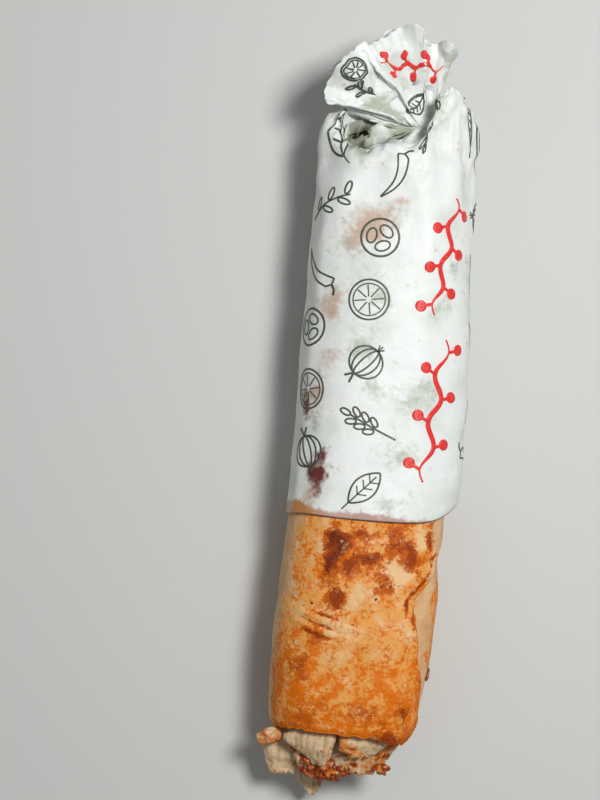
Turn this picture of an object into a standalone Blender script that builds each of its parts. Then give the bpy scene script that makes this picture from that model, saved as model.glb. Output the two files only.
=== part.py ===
"""Shawarma sandwich: a toasted flatbread roll, filled with sliced chicken, in a printed paper sleeve.

The roll lies on its long side. Its open mouth is at -Y, and the paper's gathered, crumpled end is at +Y.
The origin is on the flat of the paper that the roll rests on. Metres, +Z up. A table of stations is in
millimetres and degrees: each gives a place along the roll, or an angle round it, and the value there.
"""

import math
from dataclasses import dataclass

import bmesh
import bpy
import numpy as np

MM = 0.001
FULL_TURN = 2 * math.pi
SEED = 11
SHARP_ANGLE = math.radians(50)
TOUCHING = 0.01 * MM
SLIVER = 0.02 * MM

# The roll: where it starts and ends, its height, and how square its section is (2 is an ellipse)
MOUTH_Y = -130.5 * MM
ROLL_END_Y = 98.0 * MM
HEM_Y = -43.5 * MM
ROLL_TOP = 50.0 * MM
SQUARENESS = 2.6
REST_FLAT_DEPTH = 1.5 * MM

# (y, reach) of the roll's left and right sides, (y, height) of its underside, (y, depth) of its top's sag
REACH_LEFT = [(-134, 30.6), (-122, 32.4), (-96, 33.0), (-70, 31.8), (-20, 30.2), (30, 29.8), (98, 31)]
REACH_RIGHT = [(-134, 27.4), (-122, 31.0), (-100, 33.4), (-76, 34.0), (-40, 32.4), (60, 31.8), (98, 31)]
UNDERSIDE = [(-135, 1.6), (-118, 0.0), (-62, 0.0), (-47, 1.0), (98, 1.0)]
TOP_SAG = [(-134, 4.6), (-116, 1.6), (-88, 0.0), (-20, 0.6), (60, 0.0), (98, 1.0)]

# Flatbread: a sheet wound a little under twice round, whose outer layer dives under its own start
SHEET = 1.8 * MM
LAYER_GAP = 0.35 * MM
PITCH = SHEET + LAYER_GAP
TURNS = 1.72
DIVE_FROM = math.radians(195)
OUTER_STEP = 10.0
INNER_STEP = 14.0
BARE_ROWS = 20

# Past the hem the sheet has few rows, and at its far end (y, inset) it is pulled in a little. Its relief
# stops at this winding, in radians, where the outer layer goes under the sheet's own start
WRAPPED_FROM = HEM_Y - 4 * MM
WRAPPED_TO = ROLL_END_Y - 12 * MM
WRAPPED_ROWS = 5
FAR_END = [(ROLL_END_Y - 5 * MM, 0.6 * MM), (ROLL_END_Y, 1.6 * MM)]
RELIEF_TO = FULL_TURN - 0.6

# (y, angle) of the sheet's outer free edge, which crosses the top right of the roll slantwise
SEAM = [(-134, 24), (-112, 33), (-96, 45), (-76, 55), (-60, 31), (-48, 10), (98, 10)]

# Paper sleeve
PAPER_WALL = 0.5 * MM
PAPER_CLEAR = 0.5 * MM
PAPER_OUT = PAPER_WALL + PAPER_CLEAR
PAPER_COLUMNS = 40
SLEEVE_ROWS = 13
LINING_ROWS = 5
LINING_END_INSET = 8 * MM
LINING_END_BULGE = 5 * MM

# (angle, y) of the shoulder's crest, where the sleeve turns in towards the neck: a puff stands up at the
# right, a lip crosses the top, and the left side goes on under the fan
SHOULDER_CREST = [
    (0, 123), (20, 126), (38, 131), (56, 132), (68, 126), (82, 109), (112, 108.5),
    (130, 116), (148, 122), (170, 121), (200, 120), (225, 121), (300, 121), (360, 123),
]

# The shoulder's rows: how far in towards the neck, how much of the way up to the crest, and how much of
# the way back down to the neck's own y
SHOULDER_ROWS = [(0.02, 0.6, 0.0), (0.18, 1.0, 0.0), (0.5, 1.0, 0.3), (0.8, 1.0, 0.75)]

# The neck where the paper is gathered, and the fan of folded paper that spreads from it
NECK = np.array([10.8, 115.6, 33.0]) * MM
NECK_RADIUS_X = 6.0 * MM
NECK_RADIUS_Z = 4.5 * MM
FAN_RISE = 0.36
FAN_SHARES = (0.0, 0.28, 0.52, 0.76, 1.0)

# The fan's folds in front, from its right edge (0) to its left edge (180), and behind, back to its right
# edge (360): bearing from the neck in degrees, height of the fold and length of the paper in mm
FAN_FRONT = [
    (0, 69, -1.0, 31.5), (18, 76, 1.5, 34.5), (36, 86, -2.0, 35), (54, 97, 4.5, 37),
    (81, 113, 2.0, 41), (108, 133, 3.5, 40), (117, 137, 3.0, 39), (126, 140, -1.5, 43),
    (144, 148.5, 1.0, 44.2), (153, 157, 3.0, 43.2), (171, 168.5, -2.5, 41.8), (180, 174, 0.0, 40.5),
]
FAN_BACK = [
    (180, 174, 0.0, 40.5), (198, 166, -5.5, 41), (216, 155, -2.5, 43), (234, 140, -6.0, 42),
    (261, 116, -2.5, 41), (288, 97, -1.0, 36), (306, 87, -6.0, 34), (342, 75, -3.5, 34),
    (360, 69, -1.0, 31.5),
]

# Filling: gaps to what touches it, y of its rows, and (y, share of the full section) of its rounded ends.
# It steps aside for the sheet's inner end and for its start, over these angles in radians
FIT_GAP = 0.35 * MM
CUT_GAP = 0.6 * MM
CORE_STEP = 15.0
CORE_ROWS = [-125, -123.5, -119, -112, -104, -96, -88, -80, -72, -64, -56, -48, 40, 82, 88, 91]
CORE_ROUNDING = [(-125, 0.7), (-123.5, 0.9), (-119, 0.98), (-112, 1), (82, 0.98), (88, 0.88), (91, 0.7)]
INNER_END_FROM = 0.15
INNER_END_OVER = 0.3
START_OVER = 0.25

# A slice's section is an oblong with round corners, and it thins towards its root and its tip
SLICE_WIDTH_POWER = 0.6
SLICE_HEIGHT_POWER = 0.8
ROOT_TAPER = 0.12
TIP_TAPER = 0.22
THIN_END = 0.45


def eased(x, stations):
    """Value at x of a smooth line through stations, a list of (x, value), level at each station."""
    xs, values = np.array(stations, float).T
    i = np.clip(np.searchsorted(xs, x) - 1, 0, len(xs) - 2)
    share = np.clip((x - xs[i]) / (xs[i + 1] - xs[i]), 0, 1)
    return values[i] + (values[i + 1] - values[i]) * share * share * (3 - 2 * share)


def bump(x, centre, width):
    """A smooth bump of height 1 at centre, which has died out about two widths away."""
    return np.exp(-(((x - centre) / width) ** 2))


def turned_from(degrees, centre):
    """How far an angle is from centre, from -180 to 180, all in degrees."""
    return (degrees - centre + 180) % 360 - 180


def rounded(wave, power):
    """A cosine or sine drawn towards its extremes, which squares the circle it makes."""
    return np.sign(wave) * np.abs(wave) ** power


# The roll's own form

def roll_section(y, angle, inset):
    """Point (x, z) of the roll's outline at y and angle (0 at +X, 90 degrees on top), set in by inset."""
    across = rounded(np.cos(angle), 2 / SQUARENESS)
    upright = rounded(np.sin(angle), 2 / SQUARENESS)
    low = MM * eased(y / MM, UNDERSIDE)
    top = ROLL_TOP - MM * eased(y / MM, TOP_SAG)
    reach = MM * np.where(across > 0, eased(y / MM, REACH_RIGHT), eased(y / MM, REACH_LEFT))
    middle = (low + top) / 2
    half_height = np.where(upright > 0, top - middle, middle - low + REST_FLAT_DEPTH)
    z = middle + (half_height - inset) * upright
    return (reach - inset) * across, np.maximum(z, low + inset)


def skin(mesh, rows, closed):
    """Adds rows of points to a mesh, joined by quads from row to row. Returns the rows of vertices."""
    made = [[mesh.verts.new(p) for p in row] for row in rows]
    for lower, upper in zip(made, made[1:]):
        count = len(lower)
        for i in range(count if closed else count - 1):
            j = (i + 1) % count
            mesh.faces.new((lower[i], lower[j], upper[j], upper[i]))
    return made


def cap_ends(mesh, rows):
    """Closes the first and last row of a tube with triangles round a point in its middle, so that a
    row with a step in it is closed cleanly too."""
    for row in (rows[0], rows[-1]):
        middle = mesh.verts.new(np.mean([vertex.co for vertex in row], axis=0))
        for here, following in zip(row, row[1:] + row[:1]):
            mesh.faces.new((here, following, middle))


def finished(name, mesh, material):
    """Makes an object of a bmesh, with its faces turned outwards and its round forms shaded smooth."""
    bmesh.ops.recalc_face_normals(mesh, faces=mesh.faces[:])
    data = bpy.data.meshes.new(name)
    mesh.to_mesh(data)
    mesh.free()
    data.materials.append(material)
    data.shade_smooth()
    data.set_sharp_from_angle(angle=SHARP_ANGLE)
    piece = bpy.data.objects.new(name, data)
    bpy.context.scene.collection.objects.link(piece)
    return piece


def plain_material(name, colour, roughness):
    material = bpy.data.materials.new(name)
    material.use_nodes = True
    shader = material.node_tree.nodes["Principled BSDF"]
    shader.inputs["Base Color"].default_value = (*colour, 1)
    shader.inputs["Roughness"].default_value = roughness
    shader.inputs["Metallic"].default_value = 0.0
    return material


# Flatbread: one sheet wound into a spiral, open at the mouth

def seam_angle(y):
    return np.radians(eased(y / MM, SEAM))


def sheet_inset(winding):
    """How far the sheet lies inside the outline: on it for half a turn, then diving under its own start."""
    turn, within = np.divmod(winding, FULL_TURN)
    dive = np.clip((within - DIVE_FROM) / (FULL_TURN - DIVE_FROM), 0, 1)
    return PITCH * (turn + dive * dive * (3 - 2 * dive))


def mouth_lip(angle, winding):
    """Y of the sheet's edge at the mouth: straight, drooping at the top right, the inner turn set back."""
    degrees = np.degrees(angle)
    droop = 4.2 * bump(turned_from(degrees, 48), 0, 24) - 2.6 * bump(turned_from(degrees, 2), 0, 26)
    wave = 0.5 * np.sin(5 * angle) + 0.4 * np.sin(3 * angle + 1)
    inner_turn = 1.8 * np.clip((winding - FULL_TURN) / 0.4, 0, 1)
    return MOUTH_Y - MM * (droop + wave - inner_turn)


def toasted_relief(y, angle):
    """Blisters, dents and one wrinkle of the bare bread, outwards only, dying out before the paper."""
    along = y / MM
    blisters = np.sin(along / 5.1 + 1.3 * np.sin(2 * angle)) * np.sin(4 * angle + along / 9.0)
    wrinkle = bump(along, -88 - 9 * np.cos(angle), 3.0) * bump(turned_from(np.degrees(angle), 112), 0, 24)
    bare = 1 - eased(along, [(-62, 0), (-50, 1)])
    return MM * (0.28 + 0.28 * blisters + 0.8 * wrinkle) * bare


def make_flatbread(material):
    outer = np.radians(np.arange(0, 360, OUTER_STEP))
    inner = FULL_TURN + np.radians(np.arange(0, 360 * (TURNS - 1) + 1, INNER_STEP))
    winding = np.concatenate([outer, inner])
    rows = []
    for share in np.linspace(0, 1, BARE_ROWS):
        straight = MOUTH_Y + share * (WRAPPED_FROM - MOUTH_Y)
        lip = mouth_lip(seam_angle(straight) + winding, winding)
        rows.append((lip + share * (WRAPPED_FROM - lip), 0.0))
    wrapped = np.linspace(WRAPPED_FROM, WRAPPED_TO, WRAPPED_ROWS)[1:]
    for y, pulled_in in [(y, 0.0) for y in wrapped] + FAR_END:
        rows.append((np.full(len(winding), y), pulled_in))

    points = []
    for y, pulled_in in rows:
        angle = seam_angle(y) + winding
        relief = np.where(winding < RELIEF_TO, toasted_relief(y, angle), 0)
        x, z = roll_section(y, angle, sheet_inset(winding) + pulled_in - relief)
        points.append(np.stack([x, y, z], axis=1))
    mesh = bmesh.new()
    skin(mesh, points, closed=False)
    bread = finished("flatbread", mesh, material)
    wall = bread.modifiers.new("sheet", "SOLIDIFY")
    wall.thickness = SHEET
    wall.offset = -1
    return bread


# Paper: a sleeve round the roll, gathered at the neck and spread into a folded fan

def loose_fold(y, degrees):
    """How far the paper stands off the roll at its right side, where it is loose."""
    swell = eased(y / MM, [(-44, 3.0), (-26, 4.8), (26, 4.4), (60, 2.6), (98, 1.2)])
    return MM * swell * bump(turned_from(degrees, -6), 0, 30)


def sleeve_creases(y, degrees):
    """Shallow dents, two long creases and the pleats near the shoulder, outwards only."""
    along = y / MM
    turn = np.radians(degrees)
    right_crease = bump(turned_from(degrees, 62 + along / 14), 0, 9)
    left_crease = bump(turned_from(degrees, 148 - along / 11), 0, 8)
    dents = 0.5 + 0.5 * np.sin(along / 11.0 + 3 * turn) * np.sin(2 * turn - along / 19.0)
    pleats = eased(along, [(70, 0), (98, 1)]) * (0.5 + 0.5 * np.cos(9 * turn))
    return MM * (0.45 * (right_crease + left_crease) + 0.6 * dents + 1.6 * pleats)


def hem_line(degrees):
    """Y of the sleeve's cut edge: straight over the roll, higher at the loose side, lower at the left."""
    loose_side = 9.0 * bump(turned_from(degrees, -8), 0, 34)
    left_side = 1.8 * bump(turned_from(degrees, 180), 0, 40)
    return HEM_Y + MM * (loose_side - left_side + 0.5 * np.sin(np.radians(3 * degrees)))


def sleeve_row(y, degrees, outwards):
    """One row of the sleeve's outside, which stays flat where the roll rests on it."""
    x, z = roll_section(y, np.radians(degrees), -PAPER_OUT)
    loose_x, loose_z = roll_section(y, np.radians(degrees), -PAPER_OUT - outwards)
    floor = MM * eased(y / MM, UNDERSIDE) - PAPER_OUT
    resting = z <= floor + TOUCHING
    x, z = np.where(resting, x, loose_x), np.where(resting, z, loose_z)
    return np.stack([x, y, np.maximum(z, floor)], axis=1)


def lining_row(y, degrees):
    """One row of the sleeve's inside, which keeps its clearance to the bread and opens at the loose fold."""
    x, z = roll_section(y, np.radians(degrees), -PAPER_CLEAR - 0.9 * loose_fold(y, degrees))
    floor = MM * eased(y / MM, UNDERSIDE) - PAPER_CLEAR
    return np.stack([x, y, np.maximum(z, floor)], axis=1)


def shoulder_rows(degrees):
    """Rows from the sleeve's end over the shoulder's crest and down into the neck."""
    start = sleeve_row(np.full(len(degrees), ROLL_END_Y), degrees, sleeve_creases(ROLL_END_Y, degrees))
    crest_y = MM * eased(degrees, SHOULDER_CREST)
    pleat = 1 + 0.05 * np.cos(np.radians(9 * degrees))
    neck = neck_row(degrees)
    rows = []
    for towards_neck, climb, back in SHOULDER_ROWS:
        row = start + (neck - start) * np.minimum(towards_neck * pleat, 1)[:, None]
        y = ROLL_END_Y + (crest_y - ROLL_END_Y) * climb
        row[:, 1] = y + (NECK[1] - 1 * MM - y) * back
        rows.append(row)
    return rows


def neck_row(degrees):
    turn = np.radians(degrees)
    x = NECK[0] + NECK_RADIUS_X * np.cos(turn)
    z = NECK[2] + NECK_RADIUS_Z * np.sin(turn)
    return np.stack([x, np.full(len(turn), NECK[1]), z], axis=1)


def fan_fold(degrees):
    """Bearing (radians), fold height and length of the fan at each column."""
    front = np.array(FAN_FRONT, float).T
    back = np.array(FAN_BACK, float).T
    bearing, fold, length = (
        np.where(degrees <= 180, np.interp(degrees, front[0], front[i]), np.interp(degrees, back[0], back[i]))
        for i in (1, 2, 3)
    )
    return np.radians(bearing), fold * MM, length * MM


def fan_row(share, degrees):
    """One row of the fan, share of the way from the neck to its ragged rim."""
    bearing, fold, length = fan_fold(degrees)
    ragged = 1 + 0.03 * np.sin(np.radians(degrees) * 7)
    out = share * length * ragged
    x = NECK[0] + out * np.cos(bearing)
    y = NECK[1] + out * np.sin(bearing)
    z = NECK[2] + FAN_RISE * out + fold * share
    spread = np.stack([x, y, z], axis=1)
    opened = min(1.0, 2 * share)
    neck = neck_row(degrees)
    return neck + (spread - neck) * opened


def make_paper(material):
    degrees = np.arange(PAPER_COLUMNS) * 360 / PAPER_COLUMNS
    hem = hem_line(degrees)
    outside = []
    for share in np.linspace(0, 1, SLEEVE_ROWS):
        y = hem + share * (ROLL_END_Y - hem)
        outside.append(sleeve_row(y, degrees, loose_fold(y, degrees) + sleeve_creases(y, degrees)))
    outside += shoulder_rows(degrees)
    outside += [fan_row(share, degrees) for share in FAN_SHARES]
    inside = []
    for share in np.linspace(0, 1, LINING_ROWS):
        inside.append(lining_row(hem + share * (ROLL_END_Y - hem), degrees))
    end_y = np.full(len(degrees), ROLL_END_Y)
    end_x, end_z = roll_section(end_y, np.radians(degrees), LINING_END_INSET)
    inside.append(np.stack([end_x, end_y + LINING_END_BULGE, end_z], axis=1))

    mesh = bmesh.new()
    outer = skin(mesh, outside, closed=True)
    inner = skin(mesh, inside, closed=True)
    for i in range(PAPER_COLUMNS):
        j = (i + 1) % PAPER_COLUMNS
        mesh.faces.new((outer[0][i], outer[0][j], inner[0][j], inner[0][i]))
    mesh.faces.new(inner[-1])
    rim = outer[-1]
    behind = [rim[0]] + rim[:0:-1]
    for i in range(PAPER_COLUMNS // 2):
        corners = dict.fromkeys((rim[i], rim[i + 1], behind[i + 1], behind[i]))
        mesh.faces.new(list(corners))
    bmesh.ops.triangulate(mesh, faces=[f for f in mesh.faces if len(f.verts) > 4])
    return finished("paper_wrap", mesh, material)


# Chicken: torn slices that stick out of the mouth, and chunks fused to the filling's face

@dataclass(frozen=True)
class Slice:
    """A torn slice. Each station is (y, left x, right x, middle z) in mm, from its root to its tip. The slice
    is thick by thickness, its right edge is higher than its left by tilt, and rough makes it uneven."""

    stations: tuple
    thickness: float
    tilt: float
    rough: float
    seed: int
    rings: int = 9
    sides: int = 12


SLICES = {
    "chicken_strip_centre": Slice(
        stations=((-122, -19.5, -5.0, 35.8), (-129.2, -20.8, -4.2, 36.2), (-133.5, -25.0, -3.8, 36.6),
                  (-137, -24.6, -4.6, 36.6), (-141, -17, -5.8, 36.2), (-145.2, -10.8, -7.6, 35.4)),
        thickness=5.4, tilt=5.5, rough=0.35, seed=1),
    "chicken_slice_right_upper": Slice(
        stations=((-122, -2.4, 15, 37.8), (-134, -2.8, 17.4, 37.4), (-138, -2.4, 14.5, 37.2),
                  (-140, 2, 10, 36.8)),
        thickness=5.2, tilt=-4.0, rough=0.35, seed=2),
    "chicken_slice_right_lower": Slice(
        stations=((-122, -5, 16, 29.6), (-139, -5.8, 17.6, 29.4), (-144, -5.2, 17.2, 28.6),
                  (-148, -1, 12, 27.8)),
        thickness=6.2, tilt=-1.8, rough=0.5, seed=3),
    "chicken_slice_left": Slice(
        stations=((-122, -22.5, -10, 25.0), (-130.5, -24.0, -11, 24.6), (-138, -33.2, -14, 23.8),
                  (-145, -32.4, -17, 22.8), (-151.4, -29.6, -18.6, 21.6)),
        thickness=6.2, tilt=0.5, rough=0.6, seed=4),
    "chicken_corner_right": Slice(
        stations=((-122, 14, 21.5, 20.8), (-136, 14.2, 22.2, 20.8), (-142.6, 15.6, 18.6, 20.4)),
        thickness=6.6, tilt=0.0, rough=0.6, seed=5),
    "chicken_chunk_sauced": Slice(
        stations=((-136, -16.5, -11.5, 29.2), (-143, -20.6, -12.2, 29.4), (-149, -17.5, -13.0, 29.0)),
        thickness=4.8, tilt=0.0, rough=0.6, seed=6),
    "chicken_slice_low": Slice(
        stations=((-122, -15.5, -6, 15.6), (-141, -17, -6.2, 15.4), (-155, -17.6, -6.6, 14.6),
                  (-159.5, -13.5, -8.4, 14.0)),
        thickness=6.4, tilt=0.6, rough=0.7, seed=7),
}

# The curl is built along its own -Y and then turned and placed beside the left corner of the mouth
CURL = Slice(
    stations=((0, -3.2, 2.6, 0), (-4, -3.8, 3.0, 0.8), (-9, -2.6, 2.2, -0.6)),
    thickness=3.0, tilt=0.0, rough=0.4, seed=8, rings=7)
CURL_PLACE = np.array([-26.4, -134.0, 31.2]) * MM
CURL_TURN = math.radians(-68)

# Chunks on the filling's face: x and z of the middle, how far out and how wide, in mm
FACE_CHUNKS = [
    (-18.5, 14.5, 7, 7.5), (1.5, 13.4, 10, 10.5), (11.0, 13.6, 8, 8.5), (3.5, 21.8, 9, 10),
    (-7.5, 25.5, 7, 7),
]
CHUNK_ROOT_Y = -118
FACE_Y = -125


def make_slice(name, material, cut):
    """Lofts a slice: rings of a rounded oblong along its stations, thinner at its ends and uneven."""
    stations = sorted(cut.stations)
    ys = np.linspace(cut.stations[0][0], cut.stations[-1][0], cut.rings)
    left, right, middle = (eased(ys, [(s[0], s[i]) for s in stations]) for i in (1, 2, 3))
    shares = np.linspace(0, 1, cut.rings)
    taper = np.clip(np.minimum(shares / ROOT_TAPER, (1 - shares) / TIP_TAPER), THIN_END, 1)
    tall = cut.thickness / 2 * taper
    turn = np.linspace(0, FULL_TURN, cut.sides, endpoint=False)
    across = rounded(np.cos(turn), SLICE_WIDTH_POWER)
    upright = rounded(np.sin(turn), SLICE_HEIGHT_POWER)
    random = np.random.default_rng(cut.seed)
    rows = []
    for i in range(cut.rings):
        lumps = 1 + cut.rough / cut.thickness * random.uniform(-1, 1, cut.sides)
        centre, half = (left[i] + right[i]) / 2, (right[i] - left[i]) / 2
        x = centre + half * across * (1 + 0.25 * cut.rough / half * random.uniform(-1, 1, cut.sides))
        z = middle[i] + tall[i] * upright * lumps + cut.tilt * (x - centre) / (2 * half)
        y = ys[i] + cut.rough * 0.5 * random.uniform(-1, 1, cut.sides) * (0 < i < cut.rings - 1)
        rows.append(np.stack([x, y, z], axis=1) * MM)
    mesh = bmesh.new()
    cap_ends(mesh, skin(mesh, rows, closed=True))
    return finished(name, mesh, material)


def core_inset(angle):
    """Room for the sheet between the outline and the filling, at an angle in radians from the seam."""
    inner_end = (TURNS - 1) * FULL_TURN
    one_layer = np.clip((angle - inner_end - INNER_END_FROM) / INNER_END_OVER, 0, 1)
    layers = sheet_inset(angle + FULL_TURN) * (1 - one_layer) + sheet_inset(angle) * one_layer
    step_at_seam = np.clip(1 - angle / START_OVER, 0, 1) * PITCH
    return layers + step_at_seam + SHEET + FIT_GAP


def face_chunk(index, x, z, out, wide):
    """Stations of a chunk that grows from inside the filling and narrows as it stands out of its face."""
    stations = (
        (CHUNK_ROOT_Y, x - wide / 2, x + wide / 2, z),
        (FACE_Y - out / 2, x - 0.46 * wide, x + 0.48 * wide, z + 0.3),
        (FACE_Y - out, x - 0.3 * wide, x + 0.3 * wide, z - 0.4),
    )
    return Slice(stations, thickness=0.72 * wide, tilt=0.4, rough=0.6, seed=SEED + index, rings=6, sides=9)


def make_filling(material):
    """The core that runs through the bread, with chunks fused to its face at the mouth."""
    winding = np.radians(np.arange(0, 360, CORE_STEP))
    rows = []
    for y_mm, scale in zip(CORE_ROWS, np.interp(CORE_ROWS, *np.array(CORE_ROUNDING).T)):
        y = np.full(len(winding), y_mm * MM)
        x, z = roll_section(y, seam_angle(y) + winding, core_inset(winding))
        rows.append(np.stack([x * scale, y, z * scale + ROLL_TOP / 2 * (1 - scale)], axis=1))
    mesh = bmesh.new()
    cap_ends(mesh, skin(mesh, rows, closed=True))
    core = finished("filling", mesh, material)
    cuts = [face_chunk(i, *chunk) for i, chunk in enumerate(FACE_CHUNKS)]
    combine(core, [make_slice("chunk", material, cut) for cut in cuts], "UNION")
    return core


def combine(target, others, operation):
    """Joins others to target, or cuts them from it, with one Boolean that is applied, and removes them."""
    group = bpy.data.collections.new("boolean")
    bpy.context.scene.collection.children.link(group)
    for other in others:
        group.objects.link(other)
        bpy.context.scene.collection.objects.unlink(other)
    boolean = target.modifiers.new("boolean", "BOOLEAN")
    boolean.operation = operation
    boolean.operand_type = "COLLECTION"
    boolean.collection = group
    boolean.solver = "MANIFOLD"
    graph = bpy.context.evaluated_depsgraph_get()
    data = bpy.data.meshes.new_from_object(target.evaluated_get(graph))
    target.modifiers.clear()
    target.data = data
    for other in others:
        bpy.data.objects.remove(other)
    bpy.data.collections.remove(group)


def grown_copy(piece, gap):
    """A copy of a piece, larger by gap all round, to cut its neighbour with."""
    copy = piece.copy()
    copy.data = piece.data.copy()
    bpy.context.scene.collection.objects.link(copy)
    grow = copy.modifiers.new("grow", "DISPLACE")
    grow.strength = gap
    grow.mid_level = 0
    return copy


def skins_of(mesh):
    """The mesh's separate skins, each a set of joined vertices."""
    unseen = set(mesh.verts)
    skins = []
    while unseen:
        found, queue = set(), [unseen.pop()]
        while queue:
            vertex = queue.pop()
            found.add(vertex)
            near = {edge.other_vert(vertex) for edge in vertex.link_edges} & unseen
            unseen -= near
            queue.extend(near)
        skins.append(found)
    return skins


def keep_outer_skin(target):
    """Fills hollows that fusing and cutting sealed, and drops loose scraps: only the largest skin stays.
    Slivers, which have next to no area, are dissolved."""
    mesh = bmesh.new()
    mesh.from_mesh(target.data)
    bmesh.ops.remove_doubles(mesh, verts=mesh.verts[:], dist=TOUCHING)
    bmesh.ops.dissolve_degenerate(mesh, edges=mesh.edges[:], dist=SLIVER)
    skins = sorted(skins_of(mesh), key=len)
    bmesh.ops.delete(mesh, geom=[vertex for found in skins[:-1] for vertex in found], context="VERTS")
    mesh.to_mesh(target.data)
    mesh.free()


def main():
    for old in list(bpy.data.objects):
        bpy.data.objects.remove(old)
    sandwich = bpy.data.collections.new("shawarma_sandwich")
    bpy.context.scene.collection.children.link(sandwich)

    bread = plain_material("toasted_flatbread", (0.62, 0.31, 0.08), 0.6)
    paper = plain_material("greaseproof_paper", (0.78, 0.80, 0.77), 0.55)
    chicken = plain_material("chicken", (0.56, 0.42, 0.27), 0.45)
    chopped = plain_material("chopped_filling", (0.40, 0.22, 0.10), 0.5)

    slices = [make_slice(name, chicken, cut) for name, cut in SLICES.items()]
    curl = make_slice("chicken_curl_left", chicken, CURL)
    curl.location = CURL_PLACE
    curl.rotation_euler = (0, 0, CURL_TURN)
    slices.append(curl)
    bpy.context.view_layer.update()
    filling = make_filling(chopped)
    combine(filling, [grown_copy(piece, CUT_GAP) for piece in slices], "DIFFERENCE")
    keep_outer_skin(filling)
    for piece in [make_flatbread(bread), make_paper(paper), filling, *slices]:
        bpy.context.scene.collection.objects.unlink(piece)
        sandwich.objects.link(piece)


main()
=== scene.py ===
"""Shawarma sandwich: the looks of a rolled chicken flatbread in printed paper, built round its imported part.

The roll lies along Y, its open mouth at -Y and the gathered end of its paper at +Y. Lengths are metres, and
tables are millimetres and degrees. The forms repeat the formulas of the part's own source, so that each new
piece keeps the form of the solid that it stands for, and adds what is too fine for a solid.
"""

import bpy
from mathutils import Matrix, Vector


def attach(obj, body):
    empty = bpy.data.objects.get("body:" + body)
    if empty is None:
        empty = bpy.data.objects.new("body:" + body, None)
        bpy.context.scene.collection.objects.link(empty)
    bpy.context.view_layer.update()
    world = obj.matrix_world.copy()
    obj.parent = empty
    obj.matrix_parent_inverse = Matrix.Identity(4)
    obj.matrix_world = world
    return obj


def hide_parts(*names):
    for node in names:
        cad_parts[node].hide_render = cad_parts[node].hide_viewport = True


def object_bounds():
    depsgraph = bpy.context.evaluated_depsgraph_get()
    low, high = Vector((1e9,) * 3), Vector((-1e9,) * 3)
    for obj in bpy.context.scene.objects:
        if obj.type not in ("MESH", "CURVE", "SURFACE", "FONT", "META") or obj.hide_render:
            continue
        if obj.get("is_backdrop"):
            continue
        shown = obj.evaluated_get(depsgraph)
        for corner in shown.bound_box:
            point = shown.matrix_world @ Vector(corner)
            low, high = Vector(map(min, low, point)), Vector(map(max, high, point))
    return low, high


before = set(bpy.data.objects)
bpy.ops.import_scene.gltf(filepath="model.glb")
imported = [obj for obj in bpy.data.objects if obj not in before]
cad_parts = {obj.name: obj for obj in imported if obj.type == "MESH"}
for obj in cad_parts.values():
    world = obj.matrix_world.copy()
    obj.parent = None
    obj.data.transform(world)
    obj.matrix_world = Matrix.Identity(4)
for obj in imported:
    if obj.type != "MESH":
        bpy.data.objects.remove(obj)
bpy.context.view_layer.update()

import logging
import math
from collections.abc import Callable
from dataclasses import dataclass, field
from enum import Enum
from itertools import product

import bpy
import numpy as np
from mathutils import Vector

LOG = logging.getLogger("shawarma")
Array = np.ndarray
MM = 0.001
FULL_TURN = 2 * math.pi


class Slot(Enum):
    """The record's material slots."""

    BREAD = "toasted_flatbread"
    PAPER = "greaseproof_paper"
    CHICKEN = "chicken"
    CHOPPED = "chopped_filling"


class Ink(Enum):
    """The two inks of the paper's print."""

    OUTLINE = "outline"
    RED = "red"


# Curves and fields

def eased(x: Array, stations: list[tuple]) -> Array:
    """Value of a smooth line through stations, level at each: between two, a share eased by s*s*(3-2s).

    Args:
        x: Places along the line.
        stations: (place, value) pairs in rising order.

    Returns:
        The value at each place.
    """
    xs, values = np.array(stations, float).T
    i = np.clip(np.searchsorted(xs, x) - 1, 0, len(xs) - 2)
    share = np.clip((x - xs[i]) / (xs[i + 1] - xs[i]), 0, 1)
    return values[i] + (values[i + 1] - values[i]) * share * share * (3 - 2 * share)


def bump(x: Array, centre: Array, width: float) -> Array:
    """A smooth bump of height 1 at centre, which has died out about two widths away."""
    return np.exp(-(((x - centre) / width) ** 2))


def turned_from(degrees: Array, centre: Array) -> Array:
    """How far an angle is from centre, from -180 to 180, all in degrees."""
    return (degrees - centre + 180) % 360 - 180


def rounded(wave: Array, power: float) -> Array:
    """A cosine or sine drawn towards its extremes, which squares the circle it makes."""
    return np.sign(wave) * np.abs(wave) ** power


def rising(x: Array, low: float, high: float) -> Array:
    """0 below low and 1 above high, eased in between."""
    share = np.clip((x - low) / (high - low), 0, 1)
    return share * share * (3 - 2 * share)


def smooth_through(points: Array, count: int, closed: bool) -> Array:
    """Resamples the first axis of points with a Catmull-Rom curve, which passes through every point.

    Args:
        points: Values whose first axis is the way along the curve.
        count: How many samples to return.
        closed: Whether the curve returns to its first point.

    Returns:
        The samples, spread evenly over the points' own order.
    """
    total = len(points)
    place = np.linspace(0, total if closed else total - 1, count, endpoint=not closed)
    i = np.minimum(place.astype(int), total - 1 if closed else total - 2)
    share = (place - i).reshape(-1, *[1] * (points.ndim - 1))

    def near(step: int) -> Array:
        """The point that many steps on."""
        return points[(i + step) % total] if closed else points[np.clip(i + step, 0, total - 1)]

    before, here, after, beyond = near(-1), near(0), near(1), near(2)
    cubic = 3 * (here - after) + beyond - before
    return here + 0.5 * share * (
        after - before + share * (2 * before - 5 * here + 4 * after - beyond + share * cubic))


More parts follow.
